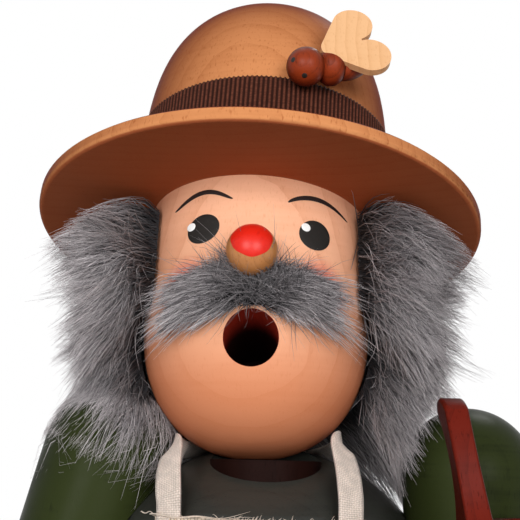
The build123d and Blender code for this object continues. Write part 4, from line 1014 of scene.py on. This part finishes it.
neck = smooth_path(NECK_PATH, 241)
centre, flatness = neck[:, :3], neck[:, 3]
reach = np.linalg.norm(centre[:, :2], axis=1)
rise = flatness * np.arctan2(centre[:, 2] - DOME_CENTRE, reach)
outward = np.stack([centre[:, 0], centre[:, 1], reach * np.tan(rise)], -1)
sideways = unit(np.cross(np.gradient(centre, axis=0), outward))
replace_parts(tape_piece("neck_tape_cotton", centre, sideways, 5.8), "neck_tape")

centre = polar(np.radians(np.linspace(58.2, 301.8, 181)), CLOTH_RADIUS, 117)
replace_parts(tape_piece("waist_tape_cotton", centre, UP, 5.8), "waist_tape")

# %% Bow
for side, word in ((-1, "right"), (1, "left")):
    t = np.linspace(0, 2 * np.pi, 73)
    swing = 1 - np.cos(t)
    loop = np.stack([side * (2.6 + 7.2 * swing), 38.3 + 2.2 * np.sin(t), 117 - 1.6 * swing / 2], -1)
    tape_piece(f"bow_loop_{word}", loop, UP, 5.4)
    t = np.linspace(0, 1, 41)
    tail = np.stack([side * (1.2 + 5.6 * t), 38.4 + 0.5 * np.sin(5 * t), 116 - 23.5 * t], -1)
    tape_piece(f"bow_end_{word}", tail, (0.97, 0, side * 0.24), 5.2)
t = np.linspace(0, 2 * np.pi, 61)
knot = np.stack([3.1 * np.sin(t), 38.4 - 2.2 * np.cos(t), np.full(61, 117.0)], -1)
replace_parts(tape_piece("bow_knot", knot, UP, 6.2), "apron_bow")

# %% [markdown]
# ## Floor, backdrop and light
# The photograph is a cut-out on white. Two broad windows stand before the figure, the left one a little
# stronger, and two small faint ones overhead make the gleams on the shoulders. A pale floor carries the
# shadow. It glows for rays that show the background, more with the distance, so that it fades to white.

# %% Stage
bpy.ops.mesh.primitive_plane_add(size=4.8, location=(0, 0, 0))
floor = bpy.context.object
floor.name = "floor"


def background_rays(tree):
    """1 for rays that show the background: straight from the camera, mirrored or through glass."""
    rays = add(tree, "ShaderNodeLightPath")
    straight = rays["Is Camera Ray"].math("MAXIMUM", rays["Is Transmission Ray"])
    return straight.math("MAXIMUM", rays["Is Glossy Ray"])


FLOOR, tree, sockets = new_material("floor_paper", 0.9, Emission_Color=(1, 1, 1, 1))
here = place_in(tree)
paper = noise(here, 300.0, 2.0).blend((236, 236, 236), (244, 244, 244))
shown = background_rays(tree)
put(shown.blend((156, 156, 156), paper), sockets["Base Color"])
put(shown * here.vector("LENGTH").ramp(0.1, 0.8, 0.4, 1.0), sockets["Emission Strength"])
floor.data.materials.append(FLOOR)

world = bpy.data.worlds.new("studio")
bpy.context.scene.world = world
world.use_nodes = True
WHITE = 255, 255, 255
sky = world.node_tree
sky.nodes.clear()
plain = add(sky, "ShaderNodeBackground", Color=WHITE, Strength=1.0)
dim = add(sky, "ShaderNodeBackground", Color=WHITE, Strength=0.16)
both = add(sky, "ShaderNodeMixShader", None, background_rays(sky), dim, plain)
put(both, sky.nodes.new("ShaderNodeOutputWorld").inputs["Surface"])


def window(name, place, aim, size, power):
    """A square area light at a place, aimed at a point, both in metres."""
    lamp = bpy.data.lights.new(name, "AREA")
    lamp.size = size
    lamp.energy = power
    holder = bpy.data.objects.new(name, lamp)
    holder.location = place
    holder.rotation_mode = "QUATERNION"
    holder.rotation_quaternion = (Vector(aim) - Vector(place)).to_track_quat("-Z", "Y")
    bpy.context.scene.collection.objects.link(holder)


window("window_left", (-0.4, -1.05, 0.42), (0, 0, 0.22), 0.55, 7.2)
window("window_right", (0.4, -1.05, 0.38), (0, 0, 0.22), 0.55, 7.0)
window("overhead_left", (-0.07, 0.03, 0.75), (0, 0, 0.17), 0.07, 0.12)
window("overhead_right", (0.2, 0.26, 0.64), (0.01, -0.02, 0.176), 0.16, 0.6)
